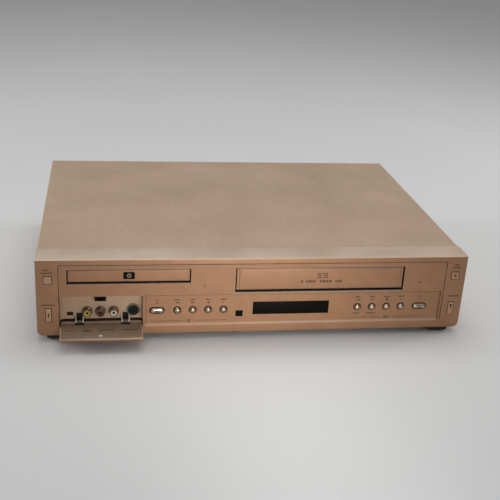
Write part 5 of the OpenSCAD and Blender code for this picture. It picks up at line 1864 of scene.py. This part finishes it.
@dataclass
class PanelPrint:
    """Signs and rules printed on the sunk field."""

    panel: FrontPanel
    sign_z: float = 35.9
    sign_h: float = 1.9
    rule_z: float = 14.4
    rule_t: float = 0.35
    rules: tuple[Span, ...] = ((-115.9, -81.0), (-67.3, -31.7), (106.8, 141.7), (155.5, 191.3))
    thick: float = 0.05
    sunk: float = 0.02
    pair_half: float = 1.1
    label_z: float = 39.4
    label_h: float = 1.5
    label_w: float = 6.4
    record_w: float = 4.6
    under_z: float = 19.4
    under_labels: tuple[tuple[str, float], ...] = (("tape_rewind", 8.0), ("tape_forward", 11.0))
    disc_rings: tuple[Span, ...] = ((1.4, 1.9), (0.3, 0.7))
    reel_r: Span = (0.7, 1.3)
    reel_out: float = 1.8
    tape_line: tuple[float, Span] = (2.6, (-1.7, -1.35))
    plate_labels: tuple[Place, ...] = (
        (-223.4, 76.4, 7.0), (-223.0, 73.2, 12.0), (-222.6, 36.4, 14.0), (223.0, 77.6, 7.0),
        (223.4, 74.4, 11.0), (223.8, 39.6, 12.0), (182.0, 57.4, 4.0),
    )
    scuffs: tuple[tuple[float, float, float, float, float], ...] = (
        (-59.5, 54.2, -56.9, 58.2, 1.1), (-82.8, 55.4, -80.6, 55.9, 0.6), (-79.8, 52.5, -77.2, 52.9, 0.6),
        (-67.8, 59.0, -66.6, 61.2, 0.4),
    )
    signs: dict[str, Sign] = field(
        default_factory=lambda: {
            "disc_record": Sign.RECORD, "disc_back": Sign.BACK, "disc_next": Sign.FORWARD,
            "disc_stop": Sign.STOP, "disc_play": Sign.PLAY, "tape_rewind": Sign.BACK,
            "tape_forward": Sign.FORWARD, "tape_stop": Sign.STOP, "tape_play": Sign.PLAY,
            "tape_record": Sign.RECORD,
        }
    )

    @property
    def y(self) -> Span:
        """Front and back of the print."""
        return self.panel.field_depth - self.thick, self.panel.field_depth + self.sunk

    def build(self) -> None:
        """Builds the dark print, the red print and the scuffs."""
        dark, red, marks = Shape(), Shape(), Shape()
        for name, sign in self.signs.items():
            x = button_middle(name).x
            shape, width = (red, self.record_w) if sign is Sign.RECORD else (dark, self.label_w)
            self._sign(shape, sign, x)
            shape.ticks((x, self.label_z), width, self.label_h, self.y)
        for name, width in self.under_labels:
            dark.ticks((button_middle(name).x, self.under_z), width, self.label_h, self.y)
        surface = (-self.thick, self.thick)
        for x, z, width in self.plate_labels:
            dark.ticks((x, z), width, self.label_h, surface)
        for x0, z0, x1, z1, width in self.scuffs:
            across = Vector((z0 - z1, x1 - x0)).normalized() * width / 2
            tips = [(x0, z0), (x0 + across.x, z0 + across.y), (x1, z1), (x1 - across.x, z1 - across.y)]
            marks.prism(tips, Axis.Y, surface)
        marks.make("panel_scuffs", ROOT, PRINT)
        for x in self.rules:
            dark.block(x, self.y, around(self.rule_z, self.rule_t / 2))
        self._disc_sign(dark, (self.rules[0][1] + self.rules[1][0]) / 2)
        self._tape_sign(dark, (self.rules[2][1] + self.rules[3][0]) / 2)
        dark.make("panel_print", ROOT, PRINT)
        red.make("panel_print_red", ROOT, RED_PRINT)

    def _sign(self, shape: Shape, sign: Sign, x: float) -> None:
        """Adds one sign.

        Args:
            shape: The print that it joins.
            sign: Which sign.
            x: Its middle.
        """
        half, z = self.sign_h / 2, self.sign_z
        if sign is Sign.STOP:
            shape.block(around(x, half), self.y, around(z, half))
        elif sign is Sign.RECORD:
            shape.lathe(rod_profile(half, self.y), Vector((x, 0.0, z)), Axis.Y, steps=20)
        else:
            way = -1 if sign is Sign.BACK else 1
            starts = (0.0,) if sign is Sign.PLAY else (-half * self.pair_half, half * self.pair_half)
            for start in starts:
                tip = x + start + way * half
                root = x + start - way * half
                shape.prism([(root, z - half), (root, z + half), (tip, z)], Axis.Y, self.y)

    def _disc_sign(self, shape: Shape, x: float) -> None:
        """Adds a ring as the sign of the disc side."""
        for radii in self.disc_rings:
            shape.lathe(ring_profile(radii, self.y), Vector((x, 0.0, self.rule_z)), Axis.Y, steps=28)

    def _tape_sign(self, shape: Shape, x: float) -> None:
        """Adds two reels on a line as the sign of the tape side.

        Args:
            shape: The print that it joins.
            x: Its middle.
        """
        for side in (-1, 1):
            middle = Vector((x + side * self.reel_out, 0.0, self.rule_z))
            shape.lathe(ring_profile(self.reel_r, self.y), middle, Axis.Y, steps=24)
        half, z = self.tape_line
        shape.block(around(x, half), self.y, raised(z, self.rule_z))


@dataclass
class Windows:
    """Dark windows of the display and of the remote receiver."""

    panel: FrontPanel
    gap: float = 0.05
    edge: float = 0.15
    back: float = 0.2
    flange: float = 2.0
    flange_y: Span = (0.05, 1.0)
    sunk: float = 0.25

    def build(self) -> None:
        """Builds both windows."""
        rear = self.panel.face_t
        pane_y = (self.panel.field_depth + self.sunk, rear + self.back)
        for name, node, (x, z) in (
            ("display_glass", "display_window", self.panel.display),
            ("remote_glass", "remote_window", self.panel.remote),
        ):
            shape = Shape()
            shape.block(widened(x, -self.gap), pane_y, widened(z, -self.gap), self.edge)
            shape.block(widened(x, self.flange), raised(self.flange_y, rear), widened(z, self.flange))
            shape.make(name, ROOT, SMOKED, (node,))


@dataclass
class CaseShell:
    """Sheet metal of the case, its feet and its screws."""

    cover_edge: float = 0.6
    fold_t: float = 0.3
    fold_out: float = 0.02
    fold_end: float = 0.2
    sheet_edge: float = 0.25
    tongue_edge: float = 0.12
    foot: Span = (26.0, 22.0)
    foot_corner: float = 4.0
    foot_edge: float = 1.0
    pad_h: float = 1.6
    pad_in: float = 0.5
    pad_inset: float = 5.0
    pad_corner: float = 3.0
    pad_edge: float = 0.4

    def build(self) -> None:
        """Builds the cover, the rear panel, the base pan, the feet and the screws."""
        cover = Shape()
        cover.copy("top_cover")
        box = NodeBox.of("top_cover")

        def long_edge(edge: BMEdge) -> bool:
            """Whether an edge runs along one of the cover's upper corners."""
            return all(v.co.z > box.high.z - NEAR and abs(v.co.x) > box.high.x - NEAR for v in edge.verts)

        cover.soften(cover.sharp(CREASE, long_edge), self.cover_edge, segments=4)
        cover.soften(cover.sharp(CREASE), self.tongue_edge, segments=1)
        cover.make("cover_shell", ROOT, COVER_PAINT, ("top_cover",))
        # Painted highlights along the cover's long folds.
        self._fold_highlights(box).make("cover_fold_highlights", ROOT, FOLD_HIGHLIGHT)
        for node, finish, edge in (
            ("rear_panel", ZINC, 0.0),
            ("base_pan", ZINC, 0.0),
            ("cover_screws", SCREW_BLACK, self.sheet_edge),
        ):
            sheet = Shape()
            sheet.copy(node, edge, segments=1)
            sheet.make(f"{node}_dressed", ROOT, finish, (node,))
        self._feet()

    def _fold_highlights(self, box: NodeBox) -> Shape:
        """Builds painted highlights along the cover's two long folds.

        Args:
            box: The cover's box.

        Returns:
            Both strips.
        """
        shape, bend = Shape(), self.cover_edge
        middle = (box.high.x - bend, box.high.z - bend)
        outline = arc(middle, bend + self.fold_out, 90, 0, steps=6)
        outline += arc(middle, bend - self.fold_t, 0, 90, steps=6)
        for side in (-1, 1):
            y = (box.low.y + self.fold_end, box.high.y - self.fold_end)
            shape.prism([(side * x, z) for x, z in outline], Axis.Y, y)
        return shape

    def _feet(self) -> None:
        """Builds the four feet with their rubber pads."""
        box = NodeBox.of("feet")
        width, depth = self.foot
        sole = box.low.z + self.pad_h
        foot = rounded_outline(width, depth, self.foot_corner)
        pad = rounded_outline(width - self.pad_inset, depth - self.pad_inset, self.pad_corner)
        shape = Shape()
        for x in (box.low.x + width / 2, box.high.x - width / 2):
            for y in (box.low.y + depth / 2, box.high.y - depth / 2):
                shape.prism(moved(foot, (x, y)), Axis.Z, (sole, box.high.z), self.foot_edge, segments=3)
                shape.prism(moved(pad, (x, y)), Axis.Z, (box.low.z, sole + self.pad_in), self.pad_edge)
        shape.make("rubber_feet", ROOT, RUBBER, ("feet",))


@dataclass
class RearJacks:
    """Phono and aerial jacks on the rear panel."""

    columns: tuple[float, ...] = (-8.0, 8.0, 24.0, 40.0, 56.0, 72.0)
    rows: Span = (26.0, 42.0)
    barrel_r: float = 4.15
    core_r: float = 3.5
    hole_r: float = 1.6
    aerial_x: float = 170.0
    aerial_rows: Span = (24.0, 46.0)
    aerial_r: float = 4.7
    panel_y: Span = (342.0, 343.0)
    reach: float = 8.5
    block: Place = (6.0, 12.0, 7.0)
    block_edge: float = 0.5
    aerial_block: Place = (20.0, 24.0, 10.0)
    aerial_edge: float = 0.6
    block_gap: float = 0.2
    barrel_in: float = 1.0
    barrel_bevel: Span = (0.3, 0.4)
    collar: Point = (1.3, 1.2)
    collar_gap: float = 0.05
    core_sunk: float = 0.5
    core_bevel: float = 0.4
    aerial_in: float = 2.0
    aerial_tip: float = 0.4
    thread_start: float = 2.6
    thread_pitch: float = 0.75
    thread_depth: float = 0.35
    thread_turns: int = 7
    nut_w: float = 2.1
    nut_y: Span = (0.02, 2.2)
    nut_edge: float = 0.3

    def build(self) -> None:
        """Builds the blocks, the barrels and the coloured cores."""
        low = NodeBox.of("rear_jacks").low.z
        inside = self.panel_y[0]
        rear = inside - self.block_gap
        blocks, barrels = Shape(), Shape()
        half, depth, rise = self.block
        for x in self.columns:
            blocks.block(around(x, half), (inside - depth, rear), (low, self.rows[1] + rise), self.block_edge)
        half, depth, rise = self.aerial_block
        top = self.aerial_rows[1] + rise
        blocks.block(around(self.aerial_x, half), (inside - depth, rear), (low, top), self.aerial_edge)
        blocks.make("rear_jack_blocks", ROOT, BLACK, ("rear_jacks",))
        for x in self.columns:
            for z in self.rows:
                barrels.lathe(self._barrel(), Vector((x, 0.0, z)), Axis.Y, steps=32)
        for z in self.aerial_rows:
            self._aerial(barrels, z)
        barrels.make("rear_jack_barrels", ROOT, CHROME)
        kinds = (("yellow", YELLOW), ("white", WHITE), ("red", RED))
        for first, (name, finish) in enumerate(kinds):
            cores = Shape()
            for x in self.columns[first :: len(kinds)]:
                for z in self.rows:
                    cores.lathe(self._core(), Vector((x, 0.0, z)), Axis.Y, steps=28)
            cores.make(f"rear_cores_{name}", ROOT, finish)

    def _barrel(self) -> list[Point]:
        """The closed profile of a barrel with its collar.

        Returns:
            Radius and depth of each point.
        """
        root, face = self.panel_y[0] - self.barrel_in, self.panel_y[1]
        end, start, stop = face + self.reach, face + self.collar_gap, face + self.collar[1]
        inner, outer, wide = self.core_r, self.barrel_r, self.barrel_r + self.collar[0]
        in_by, back_by = self.barrel_bevel
        line = [
            (inner, root), (outer, root), (outer, start), (wide, start), (wide, stop), (outer, stop),
            (outer, end - back_by), (outer - in_by, end), (inner, end),
        ]
        return [*line, line[0]]

    def _core(self) -> list[Point]:
        """The closed profile of a core with its hole.

        Returns:
            Radius and depth of each point.
        """
        root, face = self.panel_y[0], self.panel_y[1] + self.reach - self.core_sunk
        hole, outer, edge = self.hole_r, self.core_r, self.core_bevel
        line = [(hole, root), (outer, root), (outer, face), (hole + edge, face), (hole, face - edge)]
        return [*line, line[0]]

    def _aerial(self, shape: Shape, z: float) -> None:
        """Adds a threaded aerial jack with its nut.

        Args:
            shape: The mesh that it joins.
            z: Height of the jack.
        """
        face, hole, radius, pitch = self.panel_y[1], self.hole_r, self.aerial_r, self.thread_pitch
        root, start = face - self.aerial_in, face + self.thread_start
        thread = [(hole, root), (radius, root), (radius, start)]
        for i in range(self.thread_turns):
            y = start + i * pitch
            thread += [(radius - self.thread_depth, y + pitch / 2), (radius, y + pitch)]
        end = start + self.thread_turns * pitch + self.aerial_tip
        thread += [(radius - self.aerial_tip, end), (hole, end), (hole, root)]
        shape.lathe(thread, Vector((self.aerial_x, 0.0, z)), Axis.Y, steps=36)
        nut = arc((self.aerial_x, z), radius + self.nut_w, 0, 300, steps=5)
        shape.prism(nut, Axis.Y, raised(self.nut_y, face), self.nut_edge)


@dataclass
class CarriedNodes:
    """CAD nodes that keep their own mesh and only get a finish."""

    finishes: dict[str, Finish] = field(
        default_factory=lambda: {
            "bay_sockets": BLACK, "flap_latch": SMOKED, "control_boards": BOARD, "main_board": BOARD,
            "power_board": BOARD, "loader_frame": GREY_TRAY, "clamp_bridge": ZINC, "clamper": NYLON,
            "disc_tray": GREY_TRAY, "tray_gear": NYLON, "traverse": ZINC, "turntable": BLACK,
            "pickup_sled": BLACK, "lead_screw": CHROME, "deck_frame": ZINC, "carriage_yoke": ZINC,
            "cassette_holder": ZINC,
            "supply_reel": NYLON, "takeup_reel": NYLON, "lower_drum": CHROME, "upper_drum": CHROME,
            "capstan": CHROME, "pinch_arm": ZINC, "pinch_roller": RUBBER, "loading_motor": BLACK,
            "tape_posts": CHROME, "power_inlet": BLACK, "fan_frame": BLACK, "fan_rotor": BLACK,
        }
    )

    def dress(self) -> None:
        """Gives every node its finish."""
        for node, finish in self.finishes.items():
            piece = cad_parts[node]
            for slot in piece.material_slots:
                slot.material = finish.material()
            LOG.info("%s keeps its solid, dressed in %s", node, finish.name)


@dataclass(frozen=True)
class Lamp:
    """A square soft lamp: its place and its aim in metres, its side, its power in watts and its beam."""

    name: str
    at: Place
    aim: Place
    size: float
    power: float
    spread: float = 180.0

    def build(self) -> None:
        """Places the lamp."""
        data = bpy.data.lights.new(self.name, "AREA")
        data.size = self.size
        data.energy = self.power
        data.spread = math.radians(self.spread)
        lamp = add_object(self.name, data)
        lamp.location = self.at
        lamp.rotation_euler = (Vector(self.aim) - Vector(self.at)).to_track_quat("-Z", "Y").to_euler()


LAMPS = (
    Lamp("key_light", at=(-0.45, -1.2, 1.7), aim=(0.0, 0.0, 0.05), size=0.8, power=2.2),
    Lamp("top_light", at=(0.1, 0.35, 2.0), aim=(0.0, 0.05, 0.05), size=1.6, power=17.0),
    Lamp(
        "front_light", at=(0.02, -0.72, 0.16), aim=(-0.005, -0.16, 0.055), size=0.2, power=0.18, spread=48.0,
    ),
    Lamp("left_light", at=(-1.5, 0.1, 0.7), aim=(-0.2, 0.0, 0.05), size=0.5, power=6.0),
    Lamp("right_light", at=(1.5, 0.2, 0.7), aim=(0.2, 0.0, 0.05), size=0.5, power=6.0),
)


@dataclass
class Studio:
    """Floor, lights, sky and camera."""

    camera_at: Place = (-162.5, -844.7, 458.9)
    azimuth: float = -10.118
    elevation: float = 22.83
    roll: float = 3.55
    lens: float = 63.26
    sensor: float = 36.0
    clip: float = 0.01
    floor_size: float = 24.0
    floor_tone: Colour = (0.64, 0.64, 0.63)
    floor_shade: float = 0.97
    floor_roughness: float = 0.85
    sky_heights: Span = (-0.05, 0.8)
    horizon: Colour = (0.05, 0.05, 0.052)
    zenith: Colour = (0.40, 0.40, 0.41)
    backdrop: Colour = (0.86, 0.86, 0.86)

    def build(self) -> None:
        """Builds the stage."""
        bpy.context.scene.view_settings.view_transform = "Standard"
        self._floor()
        self._sky()
        for lamp in LAMPS:
            lamp.build()
        self._camera()

    def _floor(self) -> None:
        """Builds the pale floor."""
        mesh = bpy.data.meshes.new("floor")
        bm = bmesh.new()
        bmesh.ops.create_grid(bm, x_segments=2, y_segments=2, size=self.floor_size / 2)
        bm.to_mesh(mesh)
        bm.free()
        material = bpy.data.materials.new("floor_paper")
        material.use_nodes = True
        sheet = NodeSheet(material.node_tree)
        shader = material.node_tree.nodes["Principled BSDF"]
        shader.inputs["Roughness"].default_value = self.floor_roughness
        tint = sheet.span(noise(sheet, scale=3.0, detail=4.0), (0.3, 0.7))
        darker = tuple(self.floor_shade * value for value in self.floor_tone)
        sheet.link(sheet.blend(tint, darker, self.floor_tone), shader.inputs["Base Color"])
        mesh.materials.append(material)
        floor = add_object("floor", mesh)

    def _sky(self) -> None:
        """Builds a sky that is brighter overhead than at the horizon."""
        world = bpy.data.worlds.new("studio_sky")
        world.use_nodes = True
        sheet = NodeSheet(world.node_tree)
        background = world.node_tree.nodes["Background"]
        place = sheet.add("ShaderNodeTexCoord")
        parts = sheet.add("ShaderNodeSeparateXYZ")
        sheet.link(place.outputs["Generated"], parts.inputs[0])
        height = sheet.span(parts.outputs["Z"], self.sky_heights)
        sky = sheet.blend(height, self.horizon, self.zenith)
        light = sheet.add("ShaderNodeLightPath")
        seen = sheet.blend(light.outputs["Is Camera Ray"], sky, self.backdrop)
        sheet.link(seen, background.inputs["Color"])
        bpy.context.scene.world = world

    def _camera(self) -> None:
        """Places the camera at the photograph's viewing angle."""
        turn, rise, roll = (math.radians(v) for v in (self.azimuth, self.elevation, self.roll))
        ahead = Vector((-math.sin(turn) * math.cos(rise), math.cos(turn) * math.cos(rise), -math.sin(rise)))
        right = Vector((math.cos(turn), math.sin(turn), 0.0))
        up = right.cross(ahead)
        right, up = math.cos(roll) * right + math.sin(roll) * up, math.cos(roll) * up - math.sin(roll) * right
        data = bpy.data.cameras.new("photo_camera")
        data.sensor_width = self.sensor
        data.lens = self.lens
        data.clip_start = self.clip
        camera = add_object("photo_camera", data)
        axes = Matrix((right, up, -ahead)).transposed().to_4x4()
        camera.matrix_world = Matrix.Translation(TO_FRAME @ Vector(self.camera_at)) @ axes
        bpy.context.scene.camera = camera


def main() -> None:
    """Builds the stage and every piece in order."""
    logging.basicConfig(level=logging.INFO, format="%(name)s: %(message)s")
    Studio().build()
    panel = FrontPanel()
    panel.build()
    bay = JackBay()
    bay.build()
    JackFlap().build(bay)
    PhonoJacks().build()
    DiscTray().build()
    CassetteDoor().build()
    Buttons(panel).build()
    PanelPrint(panel).build()
    Windows(panel).build()
    CaseShell().build()
    RearJacks().build()
    CarriedNodes().dress()


if __name__ == "__main__":
    main()
